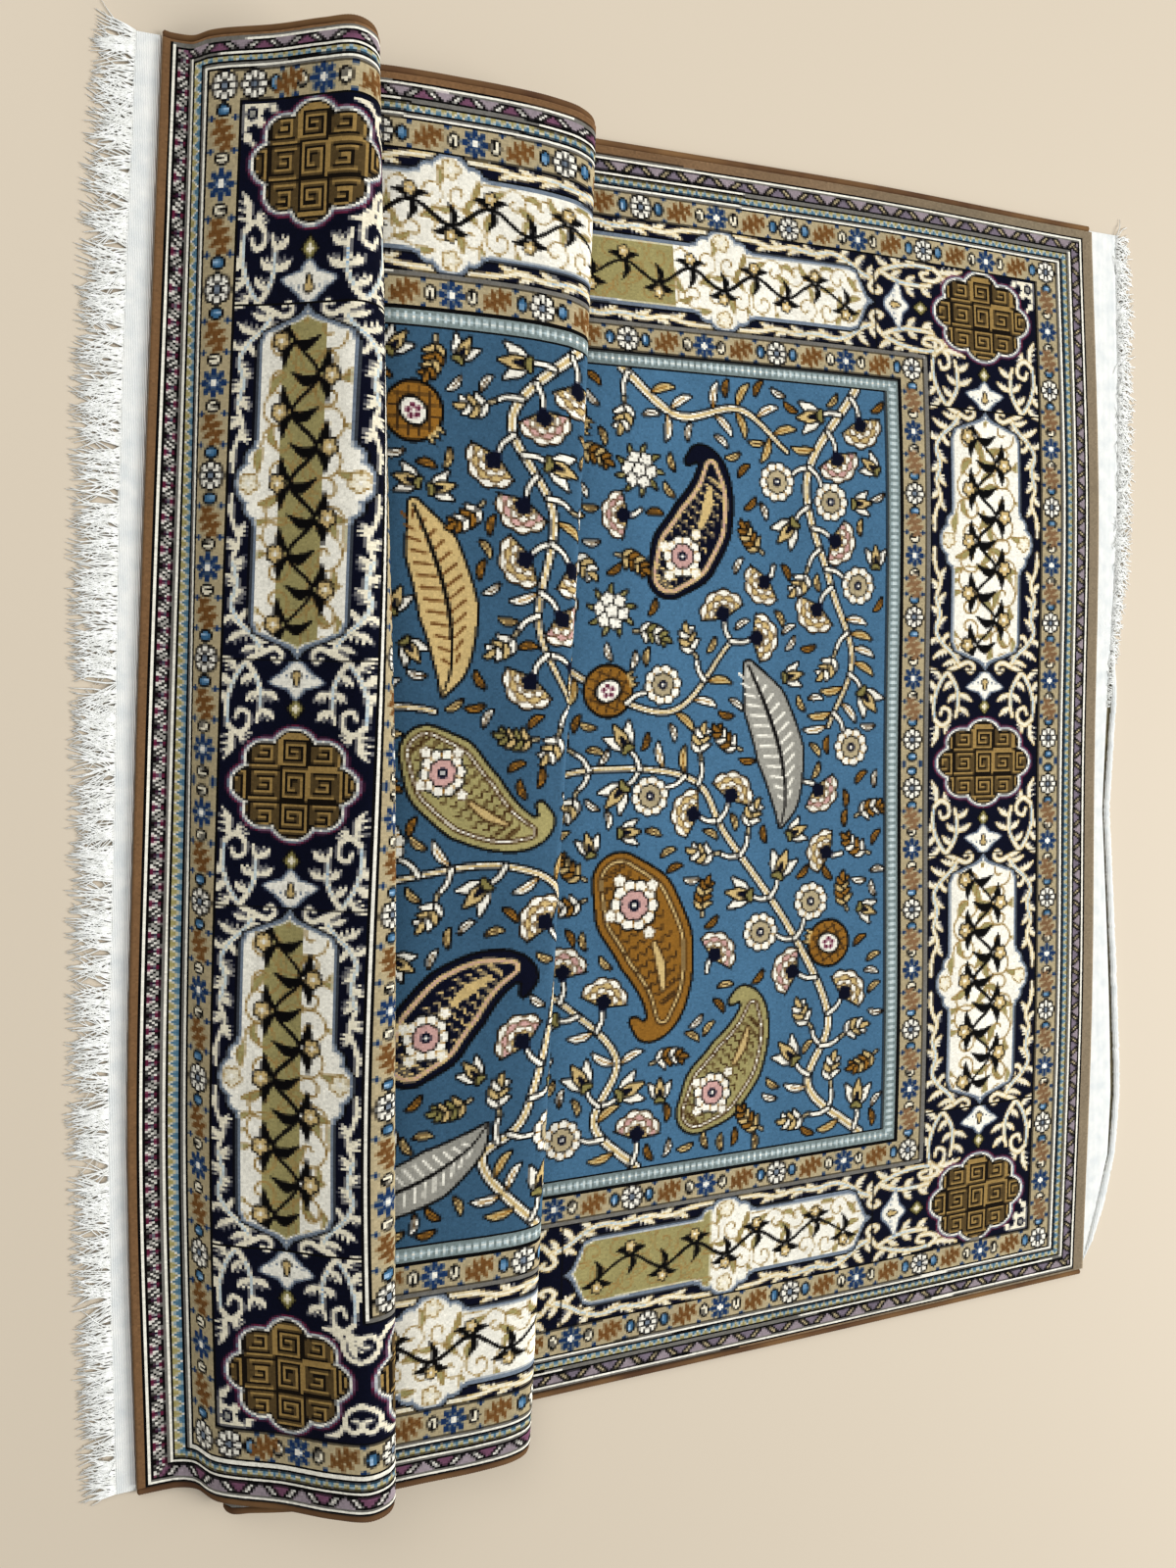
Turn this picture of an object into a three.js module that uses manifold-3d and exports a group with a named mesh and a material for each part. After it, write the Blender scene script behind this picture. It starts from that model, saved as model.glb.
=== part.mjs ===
// Persian rug laid out on the floor with two cross pleats, millimetres, Z up.
// X runs across the rug's width, Y along its length towards the far end.
import * as THREE from "three";

// Sheet sizes
const CLOTH_THICK = 10;
const SELVEDGE_WIDE = 8;
const SELVEDGE_THICK = 9;
const SEAM_GAP = 0.7;
const WIDTH_STEPS = 16;

// Flat-woven end strips and their fringes
const STRIP_THICK = 3;
const STRIP_STEPS = 40;
const STRAND_WIDE = 4.2;
const STRAND_HIGH = 2.6;
const STRAND_ROOT = 3;
const NEAR_STRANDS = 154;
const FAR_STRANDS = 136;

// Lines across the rug: distance along Y at five places over the width
const LINES = {
  near: { left: -529, left_mid: -553, middle: -575, right_mid: -593, right: -596 },
  crest_1: { left: -344.5, left_mid: -347, middle: -347.5, right_mid: -356.5, right: -364.5 },
  bend_1: { left: -480, left_mid: -493, middle: -504, right_mid: -512, right: -519 },
  crest_2: { left: -115, left_mid: -136, middle: -163, right_mid: -189, right: -214 },
  bend_2: { left: -365, left_mid: -367, middle: -375, right_mid: -397, right: -423 },
  far: { left: 569, left_mid: 581, middle: 575, right_mid: 571, right: 556 },
};

// Mid-surface of the pleated section, from the near end to the far end.
// from/to: lines the point lies between, part: share of the way, shift: mm along Y, height: mm up
const SECTION = [
  { from: "near", to: "near", part: 0, shift: 0, height: 5, steps: 2 },
  { from: "bend_1", to: "bend_1", part: 0, shift: -42, height: 5.2, steps: 2 },
  { from: "bend_1", to: "bend_1", part: 0, shift: -22, height: 12, steps: 2 },
  { from: "bend_1", to: "bend_1", part: 0, shift: -4, height: 35, steps: 3 },
  { from: "bend_1", to: "crest_1", part: 0.35, shift: 0, height: 68, steps: 2 },
  { from: "bend_1", to: "crest_1", part: 0.62, shift: 0, height: 96, steps: 3 },
  { from: "crest_1", to: "crest_1", part: 0, shift: -27, height: 111, steps: 3 },
  { from: "crest_1", to: "crest_1", part: 0, shift: -11, height: 105, steps: 3 },
  { from: "crest_1", to: "crest_1", part: 0, shift: -5, height: 91, steps: 3 },
  { from: "crest_1", to: "crest_1", part: 0, shift: -11, height: 77, steps: 3 },
  { from: "crest_1", to: "crest_1", part: 0, shift: -27, height: 71, steps: 3 },
  { from: "bend_1", to: "crest_1", part: 0.55, shift: 0, height: 61, steps: 2 },
  { from: "bend_1", to: "crest_1", part: 0.32, shift: 0, height: 47, steps: 2 },
  { from: "bend_1", to: "bend_1", part: 0, shift: 25, height: 35, steps: 3 },
  { from: "bend_1", to: "bend_1", part: 0, shift: 10, height: 28.2, steps: 2 },
  { from: "bend_1", to: "bend_1", part: 0, shift: 5, height: 18, steps: 2 },
  { from: "bend_1", to: "bend_1", part: 0, shift: 9, height: 8.8, steps: 3 },
  { from: "bend_1", to: "bend_1", part: 0, shift: 20, height: 5, steps: 2 },
  { from: "bend_1", to: "bend_2", part: 0.5, shift: 0, height: 5, steps: 2 },
  { from: "bend_2", to: "bend_2", part: 0, shift: -36, height: 12, steps: 2 },
  { from: "bend_2", to: "bend_2", part: 0, shift: -7, height: 40, steps: 2 },
  { from: "bend_2", to: "bend_2", part: 0, shift: 18, height: 52, steps: 2 },
  { from: "bend_2", to: "crest_2", part: 0.5, shift: 0, height: 60.5, steps: 3 },
  { from: "crest_2", to: "crest_2", part: 0, shift: -60, height: 64.5, steps: 2 },
  { from: "crest_2", to: "crest_2", part: 0, shift: -26, height: 64, steps: 3 },
  { from: "crest_2", to: "crest_2", part: 0, shift: -11, height: 58, steps: 3 },
  { from: "crest_2", to: "crest_2", part: 0, shift: -5, height: 44, steps: 3 },
  { from: "crest_2", to: "crest_2", part: 0, shift: -11, height: 30, steps: 3 },
  { from: "crest_2", to: "crest_2", part: 0, shift: -26, height: 24, steps: 2 },
  { from: "bend_2", to: "crest_2", part: 0.5, shift: 0, height: 28, steps: 2 },
  { from: "bend_2", to: "bend_2", part: 0, shift: 24, height: 35, steps: 3 },
  { from: "bend_2", to: "bend_2", part: 0, shift: 9.4, height: 30.6, steps: 3 },
  { from: "bend_2", to: "bend_2", part: 0, shift: 5, height: 20, steps: 3 },
  { from: "bend_2", to: "bend_2", part: 0, shift: 9.4, height: 9.4, steps: 3 },
  { from: "bend_2", to: "bend_2", part: 0, shift: 24, height: 5, steps: 3 },
  { from: "bend_2", to: "crest_2", part: 0.8, shift: 0, height: 5, steps: 3 },
  { from: "crest_2", to: "far", part: 0.5, shift: 0, height: 5, steps: 3 },
  { from: "far", to: "far", part: 0, shift: 0, height: 5, steps: 0 },
];

// Centre line and half width of the rug at section points, whole rug with its selvedges
const WIDTHS = [
  { point: 0, centre: -13, half: 687 },
  { point: 6, centre: 0, half: 686 },
  { point: 15, centre: 15, half: 685 },
  { point: 26, centre: 15, half: 683 },
  { point: 32, centre: 5, half: 678 },
  { point: 35, centre: -3, half: 673 },
  { point: 36, centre: -4, half: 675 },
  { point: 37, centre: -2, half: 672 },
];

// End strips: width of the flat weave, length and lean of the strands at five places
const NEAR_STRIP = { left: 23, left_mid: 23, middle: 18, right_mid: 17, right: 19 };
const NEAR_LONG = { left: 27, left_mid: 31, middle: 28, right_mid: 26, right: 22 };
const NEAR_LEAN = { left: -10, left_mid: 8, middle: -6, right_mid: 9, right: -4 };
const FAR_STRIP = { left: 33, left_mid: 30, middle: 22, right_mid: 31, right: 9 };
const FAR_LONG = { left: 26, left_mid: 26, middle: 19, right_mid: 17, right: 8 };
const FAR_LEAN = { left: 7, left_mid: -6, middle: 5, right_mid: -7, right: 3 };

const COLUMNS = ["left", "left_mid", "middle", "right_mid", "right"];

// Smooth curve through evenly spaced values
function through(values, place) {
  const last = values.length - 1;
  const index = Math.min(Math.floor(place), last - 1);
  const t = place - index;
  const a = values[index];
  const b = values[index + 1];
  const before = index > 0 ? values[index - 1] : 2 * a - b;
  const after = index < last - 1 ? values[index + 2] : 2 * b - a;
  const m0 = (b - before) / 2;
  const m1 = (after - a) / 2;
  const t2 = t * t;
  const t3 = t2 * t;
  return (2 * t3 - 3 * t2 + 1) * a + (t3 - 2 * t2 + t) * m0 + (3 * t2 - 2 * t3) * b + (t3 - t2) * m1;
}

// Value of a five-column row at u, from -1 at the left edge to 1 at the right edge
function across(row, u) {
  return through(COLUMNS.map((name) => row[name]), 2 * (u + 1));
}

// Value of the width table at a place along the section points
function widthAt(place, key) {
  let k = 0;
  while (k < WIDTHS.length - 2 && WIDTHS[k + 1].point < place) {
    k += 1;
  }
  const a = WIDTHS[k];
  const b = WIDTHS[k + 1];
  const t = Math.min(1, Math.max(0, (place - a.point) / (b.point - a.point)));
  const smooth = t * t * (3 - 2 * t);
  return a[key] + (b[key] - a[key]) * smooth;
}

// Section points at u as pairs of y and z
function sectionKeys(u) {
  return SECTION.map((row) => {
    const y = across(LINES[row.from], u) * (1 - row.part) + across(LINES[row.to], u) * row.part;
    return { y: y + row.shift, z: row.height };
  });
}

// One span of a curve whose pace follows the spacing of its points
function span(p0, p1, p2, p3, t) {
  const gap = (a, b) => Math.sqrt(Math.hypot(b.y - a.y, b.z - a.z));
  const k1 = gap(p0, p1);
  const k2 = k1 + gap(p1, p2);
  const k3 = k2 + gap(p2, p3);
  const k = k1 + t * (k2 - k1);
  const mix = (a, b, ka, kb) => ({
    y: (a.y * (kb - k) + b.y * (k - ka)) / (kb - ka),
    z: (a.z * (kb - k) + b.z * (k - ka)) / (kb - ka),
  });
  const a1 = mix(p0, p1, 0, k1);
  const a2 = mix(p1, p2, k1, k2);
  const a3 = mix(p2, p3, k2, k3);
  const b1 = mix(a1, a2, 0, k2);
  const b2 = mix(a2, a3, k1, k3);
  return mix(b1, b2, k1, k2);
}

// Mid-surface stations at u: place along the section, y, z and unit normal
function stations(u) {
  const keys = sectionKeys(u);
  const end = keys.length - 1;
  const reach = (a, b) => ({ y: 2 * a.y - b.y, z: 2 * a.z - b.z });
  const key = (i) => {
    if (i < 0) {
      return reach(keys[0], keys[1]);
    }
    return i > end ? reach(keys[end], keys[end - 1]) : keys[i];
  };
  const at = (place) => {
    const i = Math.min(Math.floor(place), end - 1);
    const p = span(key(i - 1), key(i), key(i + 1), key(i + 2), place - i);
    return { y: p.y, z: Math.max(p.z, CLOTH_THICK / 2) };
  };
  const list = [];
  SECTION.forEach((row, i) => {
    for (let s = 0; s < row.steps; s += 1) {
      list.push(i + s / row.steps);
    }
  });
  list.push(end);
  return list.map((place) => {
    const here = at(place);
    const back = at(Math.max(0, place - 0.02));
    const ahead = at(Math.min(end, place + 0.02));
    const long = Math.hypot(ahead.y - back.y, ahead.z - back.z);
    return { place, y: here.y, z: here.z, ny: -(ahead.z - back.z) / long, nz: (ahead.y - back.y) / long };
  });
}

// Closed solid from rings of points: each ring the same length, ends capped from its first point
function skin(rings) {
  const positions = [];
  const faces = [];
  const size = rings[0].length;
  rings.forEach((ring) => ring.forEach((p) => positions.push(p[0], p[1], p[2])));
  for (let r = 0; r < rings.length - 1; r += 1) {
    for (let i = 0; i < size; i += 1) {
      const j = (i + 1) % size;
      const a = r * size + i;
      const b = r * size + j;
      const c = a + size;
      const d = b + size;
      faces.push(a, c, b, b, c, d);
    }
  }
  const top = (rings.length - 1) * size;
  for (let i = 1; i < size - 1; i += 1) {
    faces.push(0, i, i + 1);
    faces.push(top, top + i + 1, top + i);
  }
  const geometry = new THREE.BufferGeometry();
  geometry.setAttribute("position", new THREE.Float32BufferAttribute(positions, 3));
  geometry.setIndex(faces);
  return geometry;
}

// Rug body: one pleated slab between the two selvedges
function bodyGeometry() {
  const inset = SELVEDGE_WIDE + SEAM_GAP;
  const columns = [];
  for (let w = 0; w <= WIDTH_STEPS; w += 1) {
    const u = -1 + (2 * w) / WIDTH_STEPS;
    columns.push({ u, line: stations(u) });
  }
  const rows = columns[0].line.length;
  const positions = [];
  const put = (column, row, side) => {
    const p = column.line[row];
    const half = widthAt(p.place, "half") - inset;
    positions.push(widthAt(p.place, "centre") + column.u * half);
    positions.push(p.y + (p.ny * side * CLOTH_THICK) / 2);
    positions.push(p.z + (p.nz * side * CLOTH_THICK) / 2);
  };
  for (const side of [1, -1]) {
    for (const column of columns) {
      for (let row = 0; row < rows; row += 1) {
        put(column, row, side);
      }
    }
  }
  const faces = [];
  const under = columns.length * rows;
  const quad = (a, b, c, d) => faces.push(a, b, c, a, c, d);
  for (let w = 0; w < WIDTH_STEPS; w += 1) {
    for (let row = 0; row < rows - 1; row += 1) {
      const a = w * rows + row;
      const b = a + rows;
      quad(a, b, b + 1, a + 1);
      quad(under + a, under + a + 1, under + b + 1, under + b);
    }
  }
  const right = WIDTH_STEPS * rows;
  for (let row = 0; row < rows - 1; row += 1) {
    quad(row, row + 1, under + row + 1, under + row);
    quad(right + row, under + right + row, under + right + row + 1, right + row + 1);
  }
  for (let w = 0; w < WIDTH_STEPS; w += 1) {
    const a = w * rows;
    const b = a + rows;
    const e = a + rows - 1;
    const f = b + rows - 1;
    quad(a, under + a, under + b, b);
    quad(e, f, under + f, under + e);
  }
  const geometry = new THREE.BufferGeometry();
  geometry.setAttribute("position", new THREE.Float32BufferAttribute(positions, 3));
  geometry.setIndex(faces);
  return geometry;
}

// Selvedge: rounded binding along one long edge, bent with the pleats
function selvedgeGeometry(u) {
  const wide = SELVEDGE_WIDE / 2;
  const high = SELVEDGE_THICK / 2;
  const outline = [
    [-wide, -0.45 * high],
    [-0.5 * wide, -high],
    [0.5 * wide, -high],
    [wide, -0.45 * high],
    [wide, 0.45 * high],
    [0.5 * wide, high],
    [-0.5 * wide, high],
    [-wide, 0.45 * high],
  ];
  const drop = (CLOTH_THICK - SELVEDGE_THICK) / 2;
  const rings = stations(u).map((p) => {
    const x = widthAt(p.place, "centre") + u * (widthAt(p.place, "half") - wide);
    return outline.map(([dx, dn]) => [x + dx, p.y + p.ny * (dn - drop), p.z + p.nz * (dn - drop)]);
  });
  return skin(rings);
}

// Even spread that never repeats in step, between 0 and 1
function scatter(i, salt) {
  const value = Math.sin(i * 12.9898 + salt * 78.233) * 43758.5453;
  return value - Math.floor(value);
}

// Fringe: a flat-woven strip along one end with strands fused to its outer edge
function fringeGeometry(wasm, plan) {
  const { line, point, way, strip, long, lean, count, salt } = plan;
  const centre = widthAt(point, "centre");
  const half = widthAt(point, "half") - SELVEDGE_WIDE / 2;
  const innerAt = (u) => across(LINES[line], u) + way * SEAM_GAP;
  const outerAt = (u) => innerAt(u) + way * across(strip, u);
  const rings = [];
  for (let s = 0; s <= STRIP_STEPS; s += 1) {
    const u = -1 + (2 * s) / STRIP_STEPS;
    const x = centre + u * half;
    const ends = [innerAt(u), outerAt(u)];
    const y0 = Math.min(...ends);
    const y1 = Math.max(...ends);
    rings.push([[x, y0, 0], [x, y0, STRIP_THICK], [x, y1, STRIP_THICK], [x, y1, 0]]);
  }
  const solids = [solid(wasm, skin(rings))];
  for (let i = 0; i < count; i += 1) {
    const u = -1 + (2 * (i + 0.5)) / count;
    const x0 = centre + u * half;
    const reachLong = across(long, u) * (0.82 + 0.36 * scatter(i, salt));
    const y0 = outerAt(u) - way * STRAND_ROOT;
    const sway = across(lean, u) * 0.4 + (scatter(i, salt + 1) - 0.5) * 2.2;
    const strand = [0, 0.5, 1].map((t) => {
      const x = x0 + sway * t * t;
      const y = y0 + way * (STRAND_ROOT + reachLong * t);
      const thin = 1 - 0.35 * t;
      const w = (STRAND_WIDE / 2) * thin;
      const base = [[x - w, y, 0], [x, y, STRAND_HIGH * thin], [x + w, y, 0]];
      return way > 0 ? base.reverse() : base;
    });
    strand[0] = strand[0].map((p) => [p[0], y0, p[2]]);
    solids.push(solid(wasm, skin(strand)));
  }
  const joined = wasm.Manifold.union(solids);
  const mesh = joined.getMesh();
  const geometry = new THREE.BufferGeometry();
  geometry.setAttribute("position", new THREE.Float32BufferAttribute(Array.from(mesh.vertProperties), 3));
  geometry.setIndex(Array.from(mesh.triVerts));
  return geometry;
}

function solid(wasm, geometry) {
  const vertProperties = new Float32Array(geometry.attributes.position.array);
  const triVerts = new Uint32Array(geometry.index.array);
  return new wasm.Manifold(new wasm.Mesh({ numProp: 3, vertProperties, triVerts }));
}

function named(name, geometry, colour) {
  geometry.computeVertexNormals();
  const material = new THREE.MeshStandardMaterial({ color: colour, roughness: 0.95 });
  const mesh = new THREE.Mesh(geometry, material);
  mesh.name = name;
  return mesh;
}

const Module = (await import("manifold-3d")).default;
const wasm = await Module();
wasm.setup();

const nearPlan = {
  line: "near",
  point: 0,
  way: -1,
  strip: NEAR_STRIP,
  long: NEAR_LONG,
  lean: NEAR_LEAN,
  count: NEAR_STRANDS,
  salt: 3,
};
const farPlan = {
  line: "far",
  point: SECTION.length - 1,
  way: 1,
  strip: FAR_STRIP,
  long: FAR_LONG,
  lean: FAR_LEAN,
  count: FAR_STRANDS,
  salt: 8,
};

const group = new THREE.Group();
group.name = "persian_rug";
group.add(named("rug_body", bodyGeometry(), 0x3f6390));
group.add(named("selvedge_left", selvedgeGeometry(-1), 0x7a5a3a));
group.add(named("selvedge_right", selvedgeGeometry(1), 0x7a5a3a));
group.add(named("fringe_near", fringeGeometry(wasm, nearPlan), 0xe9e6dc));
group.add(named("fringe_far", fringeGeometry(wasm, farPlan), 0xe9e6dc));

export default group;
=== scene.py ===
import math
from functools import lru_cache

import bpy
import numpy as np
from mathutils import Matrix, Vector


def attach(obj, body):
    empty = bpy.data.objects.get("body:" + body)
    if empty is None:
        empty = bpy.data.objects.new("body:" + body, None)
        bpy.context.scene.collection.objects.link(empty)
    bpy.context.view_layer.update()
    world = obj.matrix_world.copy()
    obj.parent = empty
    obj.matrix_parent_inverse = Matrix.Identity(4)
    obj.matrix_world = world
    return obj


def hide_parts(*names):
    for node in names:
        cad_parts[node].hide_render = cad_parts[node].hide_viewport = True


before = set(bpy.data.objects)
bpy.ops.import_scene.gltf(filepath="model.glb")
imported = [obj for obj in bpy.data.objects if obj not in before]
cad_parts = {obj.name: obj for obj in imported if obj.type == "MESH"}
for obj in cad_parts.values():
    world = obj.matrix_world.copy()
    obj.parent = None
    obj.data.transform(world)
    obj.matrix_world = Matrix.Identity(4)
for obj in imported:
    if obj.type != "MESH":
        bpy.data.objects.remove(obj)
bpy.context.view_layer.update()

bl_info = {
    "name": "Persian Rug",
    "version": (1, 0, 0),
    "blender": (4, 5, 0),
    "location": "3D View > Sidebar > Rug",
    "description": "Weaves a knotted pile rug that lies in two cross pleats",
    "category": "Object",
}

# Lines across the rug, mm along its length at five places from the left edge to the right
LINES = {
    "near": (-529, -553, -575, -593, -596),
    "crest_1": (-344.5, -347, -347.5, -356.5, -364.5),
    "bend_1": (-480, -493, -504, -512, -519),
    "crest_2": (-115, -136, -163, -189, -214),
    "bend_2": (-365, -367, -375, -397, -423),
    "far": (569, 581, 575, 571, 556),
}

# Mid-surface of the pleats: (from line, to line, share of the way, mm along, mm up)
SECTION = (
    ("near", "near", 0, 0, 5),
    ("bend_1", "bend_1", 0, -42, 5.2),
    ("bend_1", "bend_1", 0, -22, 12),
    ("bend_1", "bend_1", 0, -4, 35),
    ("bend_1", "crest_1", 0.35, 0, 68),
    ("bend_1", "crest_1", 0.62, 0, 96),
    ("crest_1", "crest_1", 0, -27, 111),
    ("crest_1", "crest_1", 0, -11, 105),
    ("crest_1", "crest_1", 0, -5, 91),
    ("crest_1", "crest_1", 0, -11, 77),
    ("crest_1", "crest_1", 0, -27, 71),
    ("bend_1", "crest_1", 0.55, 0, 61),
    ("bend_1", "crest_1", 0.32, 0, 47),
    ("bend_1", "bend_1", 0, 25, 35),
    ("bend_1", "bend_1", 0, 10, 28.2),
    ("bend_1", "bend_1", 0, 5, 18),
    ("bend_1", "bend_1", 0, 9, 8.8),
    ("bend_1", "bend_1", 0, 20, 5),
    ("bend_1", "bend_2", 0.5, 0, 5),
    ("bend_2", "bend_2", 0, -36, 12),
    ("bend_2", "bend_2", 0, -7, 40),
    ("bend_2", "bend_2", 0, 18, 52),
    ("bend_2", "crest_2", 0.5, 0, 60.5),
    ("crest_2", "crest_2", 0, -60, 64.5),
    ("crest_2", "crest_2", 0, -26, 64),
    ("crest_2", "crest_2", 0, -11, 58),
    ("crest_2", "crest_2", 0, -5, 44),
    ("crest_2", "crest_2", 0, -11, 30),
    ("crest_2", "crest_2", 0, -26, 24),
    ("bend_2", "crest_2", 0.5, 0, 28),
    ("bend_2", "bend_2", 0, 24, 35),
    ("bend_2", "bend_2", 0, 9.4, 30.6),
    ("bend_2", "bend_2", 0, 5, 20),
    ("bend_2", "bend_2", 0, 9.4, 9.4),
    ("bend_2", "bend_2", 0, 24, 5),
    ("bend_2", "crest_2", 0.8, 0, 5),
    ("crest_2", "far", 0.5, 0, 5),
    ("far", "far", 0, 0, 5),
)

# Centre line and half width of the whole rug at section points, mm
WIDTHS = (
    (0, -16, 690),
    (6, -2.5, 688.5),
    (15, 15, 685),
    (21, 6, 690),
    (26, 12, 680),
    (32, 5, 678),
    (35, -3, 673),
    (36, -4, 675),
    (37, -2, 672),
)

# Near end, mm at five places: width of the flat weave and length of the strands
NEAR_STRIP = (23, 23, 18, 17, 19)
NEAR_LONG = (34, 39, 36, 33, 28)

# Far end, mm at places u: flat weave, open crease, rolled hem and loose tufts in turn outwards
FAR_FLAT = ((-1, 46), (-0.69, 42), (-0.37, 35), (-0.12, 26), (0.1, 20), (0.33, 29), (0.66, 42), (0.78, 41),
            (0.88, 25), (0.95, 12), (1, 2))
FAR_CREASE = ((-0.28, 0.3), (-0.12, 8), (0.1, 3.5), (0.33, 4.5), (0.66, 7), (0.8, 3), (1, 0.3))
FAR_ROLL = ((-0.28, 0.4), (-0.14, 9), (0.1, 11), (0.78, 11), (0.88, 15), (0.95, 9), (1, 0.6))
FAR_LONG = ((-1, 24), (-0.9, 29), (-0.4, 28), (-0.2, 17), (-0.1, 6))

# Flat length from the near end to the top of the second crest, at five places
CREST_2_FLAT = (822, 809, 797, 786, 778)

# Length of a drawn knot over its width
GRAIN = 1.3125

# Rug stripes from the edge inwards: (name, knots in from a long side, from the near end, from the far end)
STRIPES = (
    ("brown", 0, 0, 0),
    ("line_a", 5.2, 3.0, 6.0),
    ("leaf guard", 8.2, 6.1, 8.9),
    ("line_b", 13.0, 10.4, 12.8),
    ("saw", 16.8, 14.2, 16.4),
    ("line_c", 20.2, 17.9, 19.6),
    ("rose guard", 24, 22.2, 23.4),
    ("dark line", 37, 33.8, 35.6),
    ("main", 38, 34.8, 36.8),
    ("line_d", 92.4, 92, 100.4),
    ("inner guard", 95.6, 95, 103.6),
    ("dark line 2", 108.6, 107, 116),
    ("chain", 109.8, 108.4, 117.4),
    ("line_e", 117.1, 115.6, 124.6),
    ("field", 118, 116.4, 125.4),
)
BAND = {row[0]: i for i, row in enumerate(STRIPES)}

# Knots by which the left and the right border are drawn out to the edge, from the near end to the far,
# and the share of it at places so many knots in from the edge
LEAN = ((8, 7.5, 3.2, 2, 0.5, 0, 0), (5, 5, 5.2, 5.2, 4.5, 4, 3.5))
LEAN_SHARE = ((0.5, 1, 0.8, 0), (1, 0.9, 0.49, 0))
LEAN_PLACES = (0, 12, 60, 118)

# Ground wool of each plain stripe
GROUNDS = {
    "brown": "brown",
    "leaf guard": "pearl",
    "saw": "khaki",
    "rose guard": "tan",
    "dark line": "outline",
    "main": "navy",
    "inner guard": "tan",
    "dark line 2": "outline",
    "chain": "slate",
    "line_e": "outline",
    "field": "blue",
}

# Soft lamps: name, place and aim in metres, size, power in watts
LAMPS = (
    ("window", (0.8, 3.6, 3.6), (0, 0.1, 0), 3.0, 255),
    ("fill", (-2.2, -1.6, 3.0), (0, -0.2, 0), 2.4, 62),
)

# Heights off the mid-surface and of the mid-surface off the floor, mm
PILE_TOP = 4.8
BACK_LEVEL = -4.7
MID_LEVEL = 5

# Gap between the pile and a selvedge or an end strip, mm
SEAM = 0.7

# Pitch of the overcast yarn, drawn coarser than the usual 1.2, and half height of the edge it makes, mm
YARN_PITCH = 2.4
YARN_HALF = 4.4

# Camera and the point of the floor it looks at, metres; degrees from the photo's top to the rug's left side
CAMERA = (-0.050, -0.573, 1.187)
AIM = (0.00719, -0.11854, 0)
CAMERA_ROLL = 1.0947

# Strips of pile, mm of flat length from the near end, and knots to a face in each
PILE_STRIPS = (
    ("pile_near", 0, 285, 1),
    ("pile_under_1", 285, 585, 3),
    ("pile_middle", 585, 845, 1),
    ("pile_under_2", 845, 1205, 3),
    ("pile_far_1", 1205, 1461, 1),
    ("pile_far_2", 1461, 1717, 1),
    ("pile_far_3", 1717, 1974, 1),
)

# Knots to a face along each side of it on the back
BACK_KNOTS = 4

# Dyed wools, sRGB
WOOLS = {
    "brown": "715337",
    "outline": "060505",
    "ivory": "e3decf",
    "pearl": "cfcabf",
    "cream": "dcd3ba",
    "navy": "060818",
    "blue": "40647f",
    "sky": "90acc4",
    "frost": "a9b8ba",
    "bud": "365d7c",
    "teal": "47697c",
    "slate": "6c7876",
    "deep": "152c50",
    "tan": "a39473",
    "gold": "bca26c",
    "camel": "83591f",
    "rust": "65421f",
    "hazel": "76583c",
    "bark": "3c2812",
    "honey": "8b7040",
    "fret": "120c06",
    "olive": "797040",
    "khaki": "928858",
    "grey": "6a7480",
    "stone": "8d8a80",
    "mauve": "6c616c",
    "plum": "6a4458",
    "heather": "8a7d82",
    "rose": "b89088",
    "burgundy": "561a30",
}
WOOL = {name: i for i, name in enumerate(WOOLS)}


class RugSizes(bpy.types.PropertyGroup):
    """Sizes of the rug that a weaver would change"""

    wide: bpy.props.FloatProperty(
        name="Width", description="Whole width with both selvedges", default=1.350, unit="LENGTH")
    long: bpy.props.FloatProperty(
        name="Length", description="Flat length of the pile", default=1.974, unit="LENGTH")
    selvedge: bpy.props.FloatProperty(
        name="Selvedge", description="Width of the overcast side binding", default=0.008, unit="LENGTH")
    knots_across: bpy.props.IntProperty(
        name="Knots across", description="Knots drawn over the width", default=684)
    knots_along: bpy.props.IntProperty(
        name="Knots along", description="Knots drawn over the length", default=772)
    near_strands: bpy.props.IntProperty(
        name="Near strands", description="Warp ends of the near fringe", default=1900)
    far_strands: bpy.props.IntProperty(
        name="Far strands", description="Warp ends of the far fringe", default=900)


class RugColours(bpy.types.PropertyGroup):
    """Colours that are not pile wool"""

    cotton: bpy.props.StringProperty(
        name="Cotton", description="Undyed cotton of the ends, sRGB hex", default="ecebe5")
    floor: bpy.props.StringProperty(
        name="Floor", description="Studio floor, sRGB hex", default="c9bba6")


def linear(code):
    """sRGB hex to linear RGB."""
    parts = [int(code[i:i + 2], 16) / 255 for i in (0, 2, 4)]
    return tuple(p / 12.92 if p <= 0.04045 else ((p + 0.055) / 1.055) ** 2.4 for p in parts)


def sizes():
    return bpy.context.scene.rug_sizes


def knot_length():
    """Length of a drawn knot, mm."""
    return sizes().long * 1000 / sizes().knots_along


def table_at(table, place):
    """Straight lines between the rows (place, value) of a table."""
    return np.interp(place, [row[0] for row in table], [row[1] for row in table])


def smooth_step(t):
    t = np.clip(t, 0, 1)
    return t * t * (3 - 2 * t)


# Rug surface

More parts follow.
